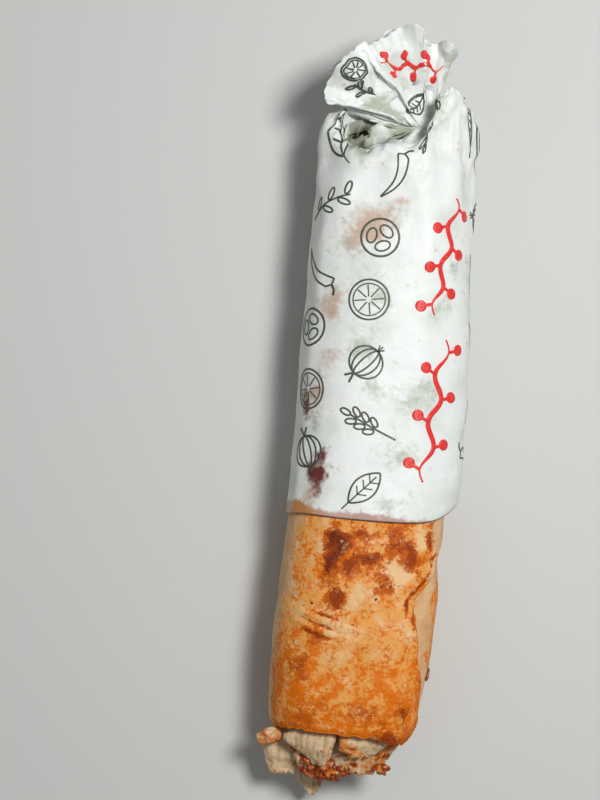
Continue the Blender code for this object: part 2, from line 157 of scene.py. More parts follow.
@dataclass(frozen=True)
class Noise:
    """A smooth random field in space, from -1 to 1.

    Each corner of a lattice has a value hashed from its place, and a point in between takes the values of
    the eight corners round it, weighted by eased shares along the three axes.
    """

    AXIS_STEPS = np.array([374761393, 668265263, 2147483629])
    SEED_STEP = 974634777
    MIXER = 1274126177

    seed: int

    def corner(self, cell: Array) -> Array:
        """The hashed value, from -1 to 1, of each lattice corner.

        Args:
            cell: The corners' whole-number places.

        Returns:
            One value for each corner.
        """
        mixed = cell @ self.AXIS_STEPS + self.seed * self.SEED_STEP
        mixed = (mixed ^ (mixed >> 13)) * self.MIXER
        return ((mixed ^ (mixed >> 16)) & 0xFFFF) / 32767.5 - 1

    def at(self, points: Array, size: float) -> Array:
        """The field's value.

        Args:
            points: Places, with x, y and z on the last axis.
            size: Width of a lattice cell, in the points' unit.

        Returns:
            One value for each place.
        """
        cell = np.floor(points / size).astype(np.int64)
        share = points / size - cell
        share = share * share * (3 - 2 * share)
        total = np.zeros(points.shape[:-1])
        for step in product((0, 1), repeat=3):
            weight = np.prod(np.where(np.array(step, bool), share, 1 - share), axis=-1)
            total += weight * self.corner(cell + np.array(step))
        return total

    def rough(self, points: Array, size: float, layers: int) -> Array:
        """Layers of the field, each of half the size and half the height of the one before."""
        return sum(self.at(points + 7.3 * k * size, size / 2 ** k) / 2 ** k for k in range(layers))


@dataclass(frozen=True)
class Creases:
    """Crumpled paper: flat facets that meet in straight, sharp creases.

    Centres chosen among the points each carry a tilted plane. The height at a point is the least of the
    planes' heights there, each raised by the squared distance from its centre, which makes ridges. The
    greatest of the negatives makes valleys instead.
    """

    seed: int
    spacing: float
    steepness: float
    valleys: bool = False

    def height(self, points: Array) -> Array:
        """The facets' height.

        Args:
            points: Rows by columns of places in space.

        Returns:
            A height for each, about zero on average, in the points' unit.
        """
        flat = points.reshape(-1, 3)
        random = np.random.default_rng(self.seed)
        spans = np.ptp(flat, axis=0)
        area = 2 * (spans[0] * spans[1] + spans[1] * spans[2])
        centres = flat[random.integers(0, len(flat), int(area / self.spacing ** 2))]
        tilts = random.normal(0, self.steepness, centres.shape)
        lowest = np.full(len(flat), np.inf)
        for centre, tilt in zip(centres, tilts):
            away = flat - centre
            raised = (away ** 2).sum(axis=1) * self.steepness / self.spacing
            lowest = np.minimum(lowest, away @ tilt + raised)
        lowest = (lowest - lowest.mean()).reshape(points.shape[:-1])
        return -lowest if self.valleys else lowest


# Meshes

@dataclass(frozen=True)
class Surface:
    """A grid of points that becomes quads.

    Attributes:
        points: Rows by columns of places.
        wraps: Whether the last column joins the first.
        backing: The other face of a sheet, point for point. The sheet's borders are then closed.
        marks: Values for each point that a finish reads, by name.
    """

    points: Array
    wraps: bool = True
    backing: Array | None = None
    marks: dict[str, Array] = field(default_factory=dict)

    def faces(self) -> tuple[Array, Array, Array]:
        """Joins each point to its neighbours, and closes the ends with a point in the middle of each.

        Returns:
            Vertices, quads and triangles, turned outwards by the sign of the volume they enclose.
        """
        rows, columns = self.points.shape[:2]
        index = np.arange(rows * columns).reshape(rows, columns)
        here = index if self.wraps else index[:, :-1]
        following = np.roll(index, -1, axis=1) if self.wraps else index[:, 1:]
        quads = np.stack([here[:-1], following[:-1], following[1:], here[1:]], -1).reshape(-1, 4)
        vertices = self.points.reshape(-1, 3)
        if self.backing is None:
            first, last = rows * columns, rows * columns + 1
            start = np.stack([following[0], here[0], np.full(here.shape[1], first)], -1)
            end = np.stack([here[-1], following[-1], np.full(here.shape[1], last)], -1)
            triangles = np.concatenate([start, end])
            vertices = np.concatenate([vertices, self.points[[0, -1]].mean(axis=1)])
        else:
            border = np.concatenate([index[0], index[1:, -1], index[-1, -2::-1], index[-2:0:-1, 0]])
            beyond = np.roll(border, -1)
            back = rows * columns
            rim = np.stack([beyond, border, border + back, beyond + back], -1)
            quads = np.concatenate([quads, quads[:, ::-1] + back, rim])
            triangles = np.zeros((0, 3), int)
            vertices = np.concatenate([vertices, self.backing.reshape(-1, 3)])
        if enclosed_volume(vertices, quads, triangles) < 0:
            quads, triangles = quads[:, ::-1], triangles[:, ::-1]
        return vertices, quads, triangles

    def mark(self, name: str) -> Array:
        """A mark's value at every vertex, with that of the closing points, or zeros where it isn't given.

        Args:
            name: The mark's name.

        Returns:
            The values, in the order of the vertices.
        """
        values = self.marks.get(name)
        if values is None:
            values = np.zeros(self.points.shape[:2])
        flat = values.reshape(-1)
        extra = flat if self.backing is not None else values[[0, -1]].mean(axis=1)
        return np.concatenate([flat, extra])


def enclosed_volume(vertices: Array, quads: Array, triangles: Array) -> float:
    """Volume inside closed faces: a sixth of the sum of the corners' triple products.

    Args:
        vertices: Places.
        quads: Faces of four corners, by vertex number.
        triangles: Faces of three corners.

    Returns:
        The volume, negative where the faces are turned inwards.
    """
    centred = vertices - vertices.mean(axis=0)
    split = np.concatenate([quads[:, [0, 1, 2]], quads[:, [0, 2, 3]], triangles])
    a, b, c = (centred[split[:, k]] for k in range(3))
    return float((a * np.cross(b, c)).sum() / 6)


def build_piece(name: str, surfaces: list[Surface], finish: "Finish",
                stands_for: tuple[str, ...] = ()) -> bpy.types.Object:
    """Puts surfaces into one mesh, finishes it and lets it ride on the part.

    Args:
        name: The piece's name.
        surfaces: The closed surfaces that it is made of.
        finish: What its surface looks like.
        stands_for: The solids that aren't shown because the piece stands for them.

    Returns:
        The finished object.
    """
    vertices, faces, count = [], [], 0
    for surface in surfaces:
        points, quads, triangles = surface.faces()
        vertices.append(points)
        faces += (quads + count).tolist() + (triangles + count).tolist()
        count += len(points)
    mesh = bpy.data.meshes.new(name)
    mesh.from_pydata(np.concatenate(vertices).tolist(), [], faces)
    for mark in sorted({mark for surface in surfaces for mark in surface.marks}):
        values = np.concatenate([surface.mark(mark) for surface in surfaces])
        mesh.attributes.new(mark, "FLOAT", "POINT").data.foreach_set("value", values.astype(np.float32))
    mesh.materials.append(finish.material())
    mesh.shade_smooth()
    piece = bpy.data.objects.new(name, mesh)
    bpy.context.scene.collection.objects.link(piece)
    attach(piece, "root")
    if stands_for:
        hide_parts(*stands_for)
    LOG.info("%s: %d faces", name, len(faces))
    return piece


def grid_normals(points: Array) -> Array:
    """Unit normals of a wrapping grid: the cross product of its steps along columns and rows.

    Args:
        points: Rows by columns of places.

    Returns:
        A normal for each place.
    """
    along = np.gradient(points, axis=0)
    around = np.roll(points, -1, axis=1) - np.roll(points, 1, axis=1)
    normal = np.cross(along, around)
    return normal / np.maximum(np.linalg.norm(normal, axis=-1, keepdims=True), 1e-12)


def sampled(grid: Array, row: Array, column: Array) -> Array:
    """Values between the rows and columns of a wrapping grid, weighted by how near the four corners are.

    Args:
        grid: Rows by columns of values or points.
        row: Row numbers, with fractions.
        column: Column numbers, with fractions.

    Returns:
        The value at each place.
    """
    row = np.clip(row, 0, len(grid) - 1.001)
    top, left = np.floor(row).astype(int), np.floor(column).astype(int)
    down, across = (row - top)[..., None], (column - left)[..., None]
    width = grid.shape[1]
    upper = grid[top, left % width] * (1 - across) + grid[top, (left + 1) % width] * across
    lower = grid[top + 1, left % width] * (1 - across) + grid[top + 1, (left + 1) % width] * across
    return upper * (1 - down) + lower * down


# Finishes

def linear(red: int, green: int, blue: int) -> tuple[float, float, float, float]:
    """A colour given as it looks on a screen, 0 to 255, as the shader wants it."""
    channels = [c / 255 for c in (red, green, blue)]
    return (*[c / 12.92 if c <= 0.04045 else ((c + 0.055) / 1.055) ** 2.4 for c in channels], 1.0)


class Wiring:
    """Adds nodes to a node tree and joins them, so that a finish reads as a list of steps."""

    def __init__(self, tree: bpy.types.NodeTree) -> None:
        """Starts on a tree."""
        self.tree = tree

    def node(self, kind: str, values: dict, **settings: object) -> bpy.types.Node:
        """Adds a node.

        Args:
            kind: The node's Blender type.
            values: For each input, by name or number, a socket to join to it or a value to give it.
            settings: The node's own options.

        Returns:
            The node.
        """
        made = self.tree.nodes.new(kind)
        for name, value in settings.items():
            setattr(made, name, value)
        for name, value in values.items():
            if isinstance(value, bpy.types.NodeSocket):
                self.tree.links.new(value, made.inputs[name])
            else:
                made.inputs[name].default_value = value
        return made

    def mark(self, name: str) -> bpy.types.NodeSocket:
        """A mark that the piece's mesh carries."""
        return self.node("ShaderNodeAttribute", {}, attribute_name=name).outputs["Fac"]

    def maths(self, operation: str, *values: object) -> bpy.types.NodeSocket:
        """A sum or other operation on sockets and numbers."""
        return self.node("ShaderNodeMath", dict(enumerate(values)), operation=operation).outputs[0]

    def rising(self, value: bpy.types.NodeSocket, low: object, high: object) -> bpy.types.NodeSocket:
        """0 below low and 1 above high, eased in between."""
        values = {"Value": value, "From Min": low, "From Max": high}
        return self.node("ShaderNodeMapRange", values, interpolation_type="SMOOTHSTEP").outputs["Result"]

    def mix(self, share: object, first: object, second: object) -> bpy.types.NodeSocket:
        """A colour between two, by a share."""
        return self.node("ShaderNodeMix", {0: share, 6: first, 7: second}, data_type="RGBA").outputs[2]

    def noise(self, scale: object, detail: float) -> bpy.types.NodeSocket:
        """A noise pattern in the object's own coordinates.

        Args:
            scale: How fine it is.
            detail: How many finer layers it has.

        Returns:
            The pattern's value, 0 to 1.
        """
        place = self.node("ShaderNodeTexCoord", {}).outputs["Object"]
        values = {"Vector": place, "Scale": scale, "Detail": detail}
        return self.node("ShaderNodeTexNoise", values).outputs["Fac"]

    def effect(self, group: bpy.types.NodeTree, values: dict) -> bpy.types.NodeSocket:
        """Places a shared effect with its own values, and gives its one output."""
        return self.node("ShaderNodeGroup", values, node_tree=group).outputs[0]

    def join(self, value: bpy.types.NodeSocket, socket: bpy.types.NodeSocket) -> None:
        """Lets a value feed a shader's socket or a group's output."""
        self.tree.links.new(value, socket)


class SharedEffects:
    """Effects that several finishes use, each a node group built once."""

    @staticmethod
    def tree(name: str, inputs: dict[str, float], output: str) -> tuple[Wiring, object, bpy.types.NodeSocket]:
        """Starts a group with its sockets.

        Args:
            name: The group's name.
            inputs: Each input's name and usual value.
            output: The output's name.

        Returns:
            The wiring, the inner sockets of the inputs, and the output's.
        """
        made = bpy.data.node_groups.new(name, "ShaderNodeTree")
        for label, usual in inputs.items():
            socket = made.interface.new_socket(label, in_out="INPUT", socket_type="NodeSocketFloat")
            socket.default_value = usual
        made.interface.new_socket(output, in_out="OUTPUT", socket_type="NodeSocketFloat")
        wiring = Wiring(made)
        entry = wiring.node("NodeGroupInput", {})
        leaving = wiring.node("NodeGroupOutput", {})
        return wiring, entry.outputs, leaving.inputs[0]

    @classmethod
    def blotches(cls) -> bpy.types.NodeTree:
        """Blotches with broken edges: a mark plus coarse and fine noise, cut off softly at a level.

        The fine noise counts for its grain's share of the coarse one.

        Returns:
            The group, made the first time it is asked for.
        """
        found = bpy.data.node_groups.get("blotches")
        if found:
            return found
        usual = {"Mark": 0.5, "Coarse": 300.0, "Fine": 1100.0, "Grain": 0.5, "Breakup": 0.6, "Level": 0.5,
                 "Softness": 0.15}
        wiring, given, result = cls.tree("blotches", usual, "Mask")
        wide = wiring.maths("SUBTRACT", wiring.noise(given["Coarse"], 2.0), 0.5)
        narrow = wiring.maths("SUBTRACT", wiring.noise(given["Fine"], 2.0), 0.5)
        narrow = wiring.maths("MULTIPLY", narrow, given["Grain"])
        swing = wiring.maths("MULTIPLY", wiring.maths("ADD", wide, narrow), given["Breakup"])
        value = wiring.maths("ADD", given["Mark"], swing)
        low = wiring.maths("SUBTRACT", given["Level"], given["Softness"])
        high = wiring.maths("ADD", given["Level"], given["Softness"])
        wiring.join(wiring.rising(value, low, high), result)
        return wiring.tree

    @classmethod
    def grain(cls) -> bpy.types.NodeTree:
        """Fine uneven height: two noises of different size added together.

        Returns:
            The group, made the first time it is asked for.
        """
        found = bpy.data.node_groups.get("surface_grain")
        if found:
            return found
        wiring, given, result = cls.tree("surface_grain", {"Coarse": 500.0, "Fine": 2000.0}, "Height")
        coarse = wiring.noise(given["Coarse"], 3.0)
        fine = wiring.maths("MULTIPLY", wiring.noise(given["Fine"], 3.0), 0.4)
        wiring.join(wiring.maths("ADD", coarse, fine), result)
        return wiring.tree


@dataclass(frozen=True)
class Finish:
    """What a surface is like. Each kind of finish paints its own colour."""

    name: str

    def material(self) -> bpy.types.Material:
        """The finish's material, made the first time it is asked for.

        Returns:
            The material.
        """
        found = bpy.data.materials.get(self.name)
        if found:
            return found
        made = bpy.data.materials.new(self.name)
        made.use_nodes = True
        self.paint(Wiring(made.node_tree), made.node_tree.nodes["Principled BSDF"])
        return made

    def paint(self, wiring: Wiring, shader: bpy.types.Node) -> None:
        """Joins the finish's pattern to the shader.

        Args:
            wiring: The material's wiring.
            shader: Its shader.
        """
        raise NotImplementedError

    def relief(self, wiring: Wiring, shader: bpy.types.Node, coarse: float, fine: float,
               depth: float) -> None:
        """Gives the shader fine uneven relief.

        Args:
            wiring: The material's wiring.
            shader: The shader whose normal is bent.
            coarse: Scale of the wider unevenness.
            fine: Scale of the finer one.
            depth: Height of the relief in metres.
        """
        height = wiring.effect(SharedEffects.grain(), {"Coarse": coarse, "Fine": fine})
        bumped = wiring.node("ShaderNodeBump", {"Height": height, "Distance": depth, "Strength": 1.0})
        wiring.join(bumped.outputs["Normal"], shader.inputs["Normal"])

    def stain(self, wiring: Wiring, mark: str, coarse: float, fine: float, grain: float, breakup: float,
              level: float, soft: float) -> bpy.types.NodeSocket:
        """A mask of blotches where one of the piece's marks is strong.

        Args:
            wiring: The material's wiring.
            mark: The mark's name.
            coarse: Scale of the wide noise that breaks the blotches up.
            fine: Scale of the fine noise.
            grain: The fine noise's share of the wide one.
            breakup: How far the noises move the blotches' edges.
            level: The mark's value at a blotch's edge.
            soft: Half the width of the edge.

        Returns:
            The mask, 0 to 1.
        """
        return wiring.effect(SharedEffects.blotches(), {
            "Mark": wiring.mark(mark), "Coarse": coarse, "Fine": fine, "Grain": grain, "Breakup": breakup,
            "Level": level, "Softness": soft})


@dataclass(frozen=True)
class ToastedBread(Finish):
    """Thin flatbread fried on a hot plate: pale dough, tan and orange where oil browned it, dark patches."""

    name: str = "toasted_bread"
    dough: tuple = linear(228, 188, 138)
    side: tuple = linear(222, 184, 138)
    side_dull: tuple = linear(208, 160, 114)
    tan: tuple = linear(226, 158, 80)
    orange: tuple = linear(216, 108, 6)
    burnt: tuple = linear(188, 88, 10)
    brown: tuple = linear(148, 60, 8)
    dark: tuple = linear(108, 38, 6)
    speck: tuple = linear(34, 26, 16)

    def paint(self, wiring: Wiring, shader: bpy.types.Node) -> None:
        """Dough, then tan, orange, brown and dark blotches, each from its own mark, and a few specks.

        Args:
            wiring: The material's wiring.
            shader: Its shader.
        """
        side = wiring.mix(wiring.rising(wiring.noise(110, 5), 0.36, 0.70), self.side, self.side_dull)
        colour = self.dough
        for mark, tone, coarse, grain, breakup, level, soft in (
                ("fried", self.tan, 110, 0.4, 1.6, 0.24, 0.32),
                ("fried", self.orange, 210, 0.8, 2.5, 0.60, 0.40),
                ("browned", self.burnt, 300, 0.7, 1.4, 0.44, 0.14),
                ("browned", self.brown, 330, 0.6, 1.3, 0.70, 0.10),
                ("browned", self.dark, 300, 0.7, 1.2, 1.12, 0.16),
                ("unfried", side, 150, 0.8, 1.9, 0.52, 0.26)):
            mask = self.stain(wiring, mark, coarse, 3.6 * coarse, grain, breakup, level, soft)
            colour = wiring.mix(mask, colour, tone)
        colour = wiring.mix(wiring.rising(wiring.mark("speck"), 0.45, 0.6), colour, self.speck)
        wiring.join(colour, shader.inputs["Base Color"])
        shader.inputs["Specular IOR Level"].default_value = 0.14
        shader.inputs["Roughness"].default_value = 0.55
        wet = wiring.rising(wiring.noise(240, 3), 0.56, 0.66)
        wiring.join(wiring.maths("MULTIPLY", wiring.mark("fried"), wet), shader.inputs["Coat Weight"])
        shader.inputs["Coat Roughness"].default_value = 0.16
        self.relief(wiring, shader, 600, 1900, 0.4 * MM)


@dataclass(frozen=True)
class GreaseproofPaper(Finish):
    """Thin white greaseproof paper, greyish where oil has made it clear, brown where it is soaked, with
    painted near-black shade in the recess under the fan's left flap.
    """

    name: str = "greaseproof_paper_looks"
    white: tuple = linear(229, 232, 229)
    shade: tuple = linear(210, 216, 209)
    oiled: tuple = linear(178, 184, 168)
    # Painted shade: near-black brown for the deep recess under the fan's left flap.
    painted_recess_shade: tuple = linear(82, 76, 54)
    pinkish: tuple = linear(196, 170, 152)
    soaked: tuple = linear(192, 158, 146)
    rusty: tuple = linear(190, 128, 74)
    sauce: tuple = linear(104, 40, 34)

    def paint(self, wiring: Wiring, shader: bpy.types.Node) -> None:
        """White with faint clouds, then the stains and the painted shade in the fan's recess, each from its
        own mark.

        Args:
            wiring: The material's wiring.
            shader: Its shader.
        """
        colour = wiring.mix(wiring.rising(wiring.noise(55, 4), 0.45, 0.75), self.white, self.shade)
        hem = wiring.mix(wiring.mark("left_hem"), self.soaked, self.rusty)
        # The second oiled entry is painted shade: near-black brown where the oiled mark is strongest, in the
        # recess under the fan's left flap.
        for mark, tone, level, soft in (
                ("oiled", self.oiled, 0.45, 0.35), ("oiled", self.painted_recess_shade, 1.5, 0.5),
                ("pinkish", self.pinkish, 0.55, 0.4), ("soaked", hem, 0.5, 0.3),
                ("sauce", self.sauce, 0.70, 0.34)):
            colour = wiring.mix(self.stain(wiring, mark, 150, 600, 0.5, 1.1, level, soft), colour, tone)
        wiring.join(colour, shader.inputs["Base Color"])
        wet = wiring.maths("MULTIPLY", wiring.rising(wiring.mark("soaked"), 0.3, 0.7), 0.22)
        wiring.join(wiring.maths("SUBTRACT", 0.52, wet), shader.inputs["Roughness"])
        self.relief(wiring, shader, 260, 1200, 0.22 * MM)


@dataclass(frozen=True)
class PrintedInk(Finish):
    """Ink of the paper's print, a little uneven as print on greaseproof paper is."""

    name: str = "ink_outline"
    colour: tuple = linear(66, 72, 58)
    worn: tuple = linear(104, 110, 96)

    def paint(self, wiring: Wiring, shader: bpy.types.Node) -> None:
        """The ink's colour with slightly worn spots.

        Args:
            wiring: The material's wiring.
            shader: Its shader.
        """
        colour = wiring.mix(wiring.rising(wiring.noise(900, 3), 0.5, 0.8), self.colour, self.worn)
        wiring.join(colour, shader.inputs["Base Color"])
        shader.inputs["Roughness"].default_value = 0.5


@dataclass(frozen=True)
class RoastChicken(Finish):
    """Roast chicken: pale stringy meat, seared brown and orange at its rind, wet with sauce in places."""

    name: str = "roast_chicken"
    meat: tuple = linear(214, 188, 150)
    between: tuple = linear(176, 134, 92)
    seared: tuple = linear(206, 126, 52)
    dark: tuple = linear(130, 56, 10)
    sauce: tuple = linear(128, 38, 2)

    def paint(self, wiring: Wiring, shader: bpy.types.Node) -> None:
        """Fibres darker between the strands, then seared, dark and sauced blotches from their marks.

        Args:
            wiring: The material's wiring.
            shader: Its shader.
        """
        uneven = wiring.maths("MULTIPLY", wiring.noise(420, 4), 0.6)
        streak = wiring.maths("ADD", wiring.mark("fibres"), uneven)
        colour = wiring.mix(wiring.rising(streak, 0.25, 1.0), self.between, self.meat)
        for mark, tone, level, soft in (
                ("seared", self.seared, 0.5, 0.22), ("seared", self.dark, 0.92, 0.25),
                ("sauced", self.sauce, 0.5, 0.18)):
            colour = wiring.mix(self.stain(wiring, mark, 260, 900, 0.6, 1.5, level, soft), colour, tone)
        wiring.join(colour, shader.inputs["Base Color"])
        wet = wiring.maths("MULTIPLY", wiring.rising(wiring.mark("sauced"), 0.3, 0.7), 0.25)
        wiring.join(wiring.maths("SUBTRACT", 0.46, wet), shader.inputs["Roughness"])
        shader.inputs["Specular IOR Level"].default_value = 0.4
        self.relief(wiring, shader, 700, 2600, 0.3 * MM)


@dataclass(frozen=True)
class GlossySauce(Finish):
    """Thick red-brown sauce, oily and bright where light falls on it."""

    name: str = "glossy_sauce"
    red: tuple = linear(132, 52, 10)
    # Orange flecks: partly the sauce's own colour, partly painted sheen.
    orange: tuple = linear(212, 124, 48)

    def paint(self, wiring: Wiring, shader: bpy.types.Node) -> None:
        """Red-brown with orange flecks, partly the sauce's own colour and partly painted sheen.

        Args:
            wiring: The material's wiring.
            shader: Its shader.
        """
        colour = wiring.mix(wiring.rising(wiring.noise(380, 4), 0.44, 0.66), self.red, self.orange)
        wiring.join(colour, shader.inputs["Base Color"])
        shader.inputs["Roughness"].default_value = 0.26
        shader.inputs["Specular IOR Level"].default_value = 0.4
        self.relief(wiring, shader, 600, 1500, 0.25 * MM)


@dataclass(frozen=True)
class StudioFloor(Finish):
    """A plain pale, matt floor."""

    name: str = "studio_floor"
    tone: tuple = linear(204, 205, 202)

    def paint(self, wiring: Wiring, shader: bpy.types.Node) -> None:
        """One pale tone."""
        shader.inputs["Base Color"].default_value = self.tone
        shader.inputs["Roughness"].default_value = 0.7


# The roll's own outline

@dataclass(frozen=True)
class RollForm:
    """The outline of the roll: at each y a squared ellipse, the same formula as the solid's.

    Towards the gathered end it is up to 3 mm narrower than the solid.
    """

    mouth_y: float = -130.5 * MM
    end_y: float = 98.0 * MM
    hem_y: float = -43.5 * MM
    top: float = 50.0 * MM
    squareness: float = 2.6
    rest_flat_depth: float = 1.5 * MM
    reach_left: tuple = ((-134, 30.6), (-122, 32.4), (-96, 33.0), (-70, 31.8), (-20, 30.2), (30, 29.8),
                         (76, 30.4), (98, 29.0))
    reach_right: tuple = ((-134, 27.4), (-122, 31.0), (-100, 33.4), (-76, 34.0), (-40, 32.4), (20, 31.6),
                          (60, 30.6), (98, 28.2))
    underside: tuple = ((-135, 1.6), (-118, 0.0), (-62, 0.0), (-47, 1.0), (98, 1.0))
    sag: tuple = ((-134, 4.6), (-116, 1.6), (-88, 0.0), (-20, 0.6), (60, 0.0), (98, 1.0))

    def low(self, y: Array) -> Array:
        """Height of the underside at y."""
        return MM * eased(y / MM, self.underside)

    def section(self, y: Array, angle: Array, inset: Array) -> tuple[Array, Array]:
        """Point of the outline: cosine and sine raised to 2/squareness, times the half width and height.

        Args:
            y: Place along the roll.
            angle: Angle round it in radians, 0 at +X and a quarter turn on top.
            inset: How far inside the outline the point lies.

        Returns:
            The point's x and z.
        """
        across = rounded(np.cos(angle), 2 / self.squareness)
        upright = rounded(np.sin(angle), 2 / self.squareness)
        low, top = self.low(y), self.top - MM * eased(y / MM, self.sag)
        reach = MM * np.where(across > 0, eased(y / MM, self.reach_right), eased(y / MM, self.reach_left))
        middle = (low + top) / 2
        half_height = np.where(upright > 0, top - middle, middle - low + self.rest_flat_depth)
        z = middle + (half_height - inset) * upright
        return (reach - inset) * across, np.maximum(z, low + inset)

    def points(self, y: Array, angle: Array, inset: Array) -> Array:
        """The outline's points as one array, with x, y and z on the last axis.

        Args:
            y: Place along the roll.
            angle: Angle round it in radians.
            inset: How far inside the outline each point lies.

        Returns:
            The points.
        """
        y, angle, inset = np.broadcast_arrays(y, angle, inset)
        x, z = self.section(y, angle, inset)
        return np.stack([x, y, z], axis=-1)


ROLL = RollForm()


@dataclass(frozen=True)
class Patch:
    """A patch seen from above: its middle, its reach across and along the roll in mm, and its strength."""

    x: float
    y: float
    across: float
    along: float
    strength: float = 1.0


def patch_field(points: Array, patches: list[Patch], wander: float, seed: int) -> Array:
    """The sum of the patches' smooth bumps, at points moved about by noise so that no patch is round.

    Args:
        points: Places in metres.
        patches: The patches.
        wander: How far noise moves a point, in mm.
        seed: The noise's seed.

    Returns:
        The field at each point.
    """
    place = points / MM
    x = place[..., 0] + wander * Noise(seed).rough(place, 9.0, 3)
    y = place[..., 1] + wander * Noise(seed + 1).rough(place, 9.0, 3)
    return sum(p.strength * bump(x, p.x, p.across) * bump(y, p.y, p.along) for p in patches)


# Flatbread

@dataclass(frozen=True)
class Flatbread:
    """One thin sheet wound a little under twice round, open at the mouth and toasted on its faces."""

    form: RollForm = ROLL
    sheet: float = 1.8 * MM
    layer_gap: float = 0.35 * MM
    turns: float = 1.72
    dive_from: float = math.radians(195)
    relief_to: float = FULL_TURN - 0.6
    relief_until: float = ROLL.hem_y - 3 * MM
    wrapped_from: float = ROLL.hem_y - 4 * MM
    seam: tuple = ((-134, 24), (-112, 33), (-96, 45), (-76, 55), (-60, 31), (-48, 10), (98, 10))
    outer_step: float = 1.5
    inner_step: float = 5.0
    bare_rows: int = 138
    wrapped_rows: int = 12
    browned: tuple = (
        Patch(-11, -52.5, 6.5, 5.5, 1.25), Patch(-13, -62.5, 5, 7, 1.15), Patch(-8.5, -76.5, 4.6, 5.4, 1.2),
        Patch(2, -59.5, 5.6, 3.4), Patch(-3.6, -65, 3.2, 4.2, 0.85), Patch(-1, -50.5, 4, 3, 0.8),
        Patch(9.7, -68.5, 8, 6, 0.7), Patch(14.5, -53, 8, 6.5, 0.85), Patch(27.5, -51.5, 2.6, 5.5, 1.2),
        Patch(19.5, -60, 3, 5, 0.8), Patch(-21, -104, 4.6, 8, 0.62), Patch(16, -133.5, 9, 3.4, 1.1),
        Patch(7, -124, 6, 5, 0.55), Patch(-16, -92, 5.5, 5, 0.6), Patch(22, -120, 4, 9, 0.62),
        Patch(-18, -125, 8, 5, 0.5), Patch(24, -82, 1.6, 8, 0.75), Patch(-4, -116, 12, 9, 0.42))
    pale: tuple = (
        Patch(15.4, -62.5, 3.4, 5.4), Patch(-0.6, -74, 5, 5.4), Patch(23.7, -52, 2.2, 2.2),
        Patch(10.3, -84, 3.2, 2.6), Patch(-8, -101, 9, 7, 0.85), Patch(1, -112, 6, 6, 0.7),
        Patch(-3, -88, 8, 3, 0.7), Patch(-18, -56, 3.4, 7, 0.6), Patch(14, -97, 3, 5, 0.5),
        Patch(-15, -113, 4, 3, 0.45), Patch(9, -120, 4, 3, 0.5), Patch(21, -108, 3, 4, 0.5))
    specks: tuple = ((-15.4, -57.0), (6.6, -75.0), (-18.4, -78.8))
    speck_size: float = 0.75
    mouth_rounding: tuple = (0.62, 0.24, 0.06)
    end_rounding: tuple = (0.6 * MM, 1.6 * MM)
    crowding: float = 0.95

    def seam_angle(self, y: Array) -> Array:
        """Angle of the sheet's outer free edge at y."""
        return np.radians(eased(y / MM, self.seam))

    def inset(self, winding: Array) -> Array:
        """How far the sheet lies inside the outline: on it for half a turn, then diving under its start.

        Args:
            winding: How far round the sheet, in radians.

        Returns:
            The distance in metres.
        """
        turn, within = np.divmod(winding, FULL_TURN)
        dive = np.clip((within - self.dive_from) / (FULL_TURN - self.dive_from), 0, 1)
        return (self.sheet + self.layer_gap) * (turn + dive * dive * (3 - 2 * dive))

    def lip(self, angle: Array, winding: Array) -> Array:
        """Y of the edge at the mouth: a droop at the top right, slow waves, and fine torn unevenness.

        Args:
            angle: Angle round the roll in radians.
            winding: How far round the sheet.

        Returns:
            The edge's y.
        """
        degrees = np.degrees(angle)
        droop = 4.2 * bump(turned_from(degrees, 48), 0, 24) - 2.6 * bump(turned_from(degrees, 2), 0, 26)
        wave = 0.5 * np.sin(5 * angle) + 0.4 * np.sin(3 * angle + 1)
        torn = 0.35 * np.sin(23 * angle) * np.sin(9 * angle + 2) + 0.2 * np.sin(41 * angle)
        inner_turn = 1.8 * np.clip((winding - FULL_TURN) / 0.4, 0, 1)
        return self.form.mouth_y - MM * (droop + wave + torn - inner_turn)

    def toasted_relief(self, y: Array, angle: Array) -> Array:
        """The solid's own blisters, dents and wrinkle, and a second wrinkle beside it.

        Args:
            y: Place along the roll.
            angle: Angle round it in radians.

        Returns:
            Height above the plain sheet.
        """
        along = y / MM
        blisters = np.sin(along / 5.1 + 1.3 * np.sin(2 * angle)) * np.sin(4 * angle + along / 9.0)
        around = bump(turned_from(np.degrees(angle), 112), 0, 24)
        middle = along + 9 * np.cos(angle)
        wrinkle = bump(middle, -88, 1.5) + 0.8 * bump(middle, -92.4, 1.3)
        bare = 1 - eased(along, [(-62, 0), (-50, 1)])
        return MM * (0.28 + 0.28 * blisters + 0.9 * wrinkle * around) * bare

    def beside_wrinkles(self, along: Array, angle: Array) -> Array:
        """Darker lines in the valleys beside the two wrinkles, 0 to 1.

        Args:
            along: Place along the roll in mm.
            angle: Angle round it in radians.

        Returns:
            The lines' strength.
        """
        around = bump(turned_from(np.degrees(angle), 106), 0, 20)
        middle = along + 9 * np.cos(angle)
        return around * (bump(middle, -85.9, 0.8) + bump(middle, -90.2, 0.7) + 0.7 * bump(middle, -94.4, 0.8))

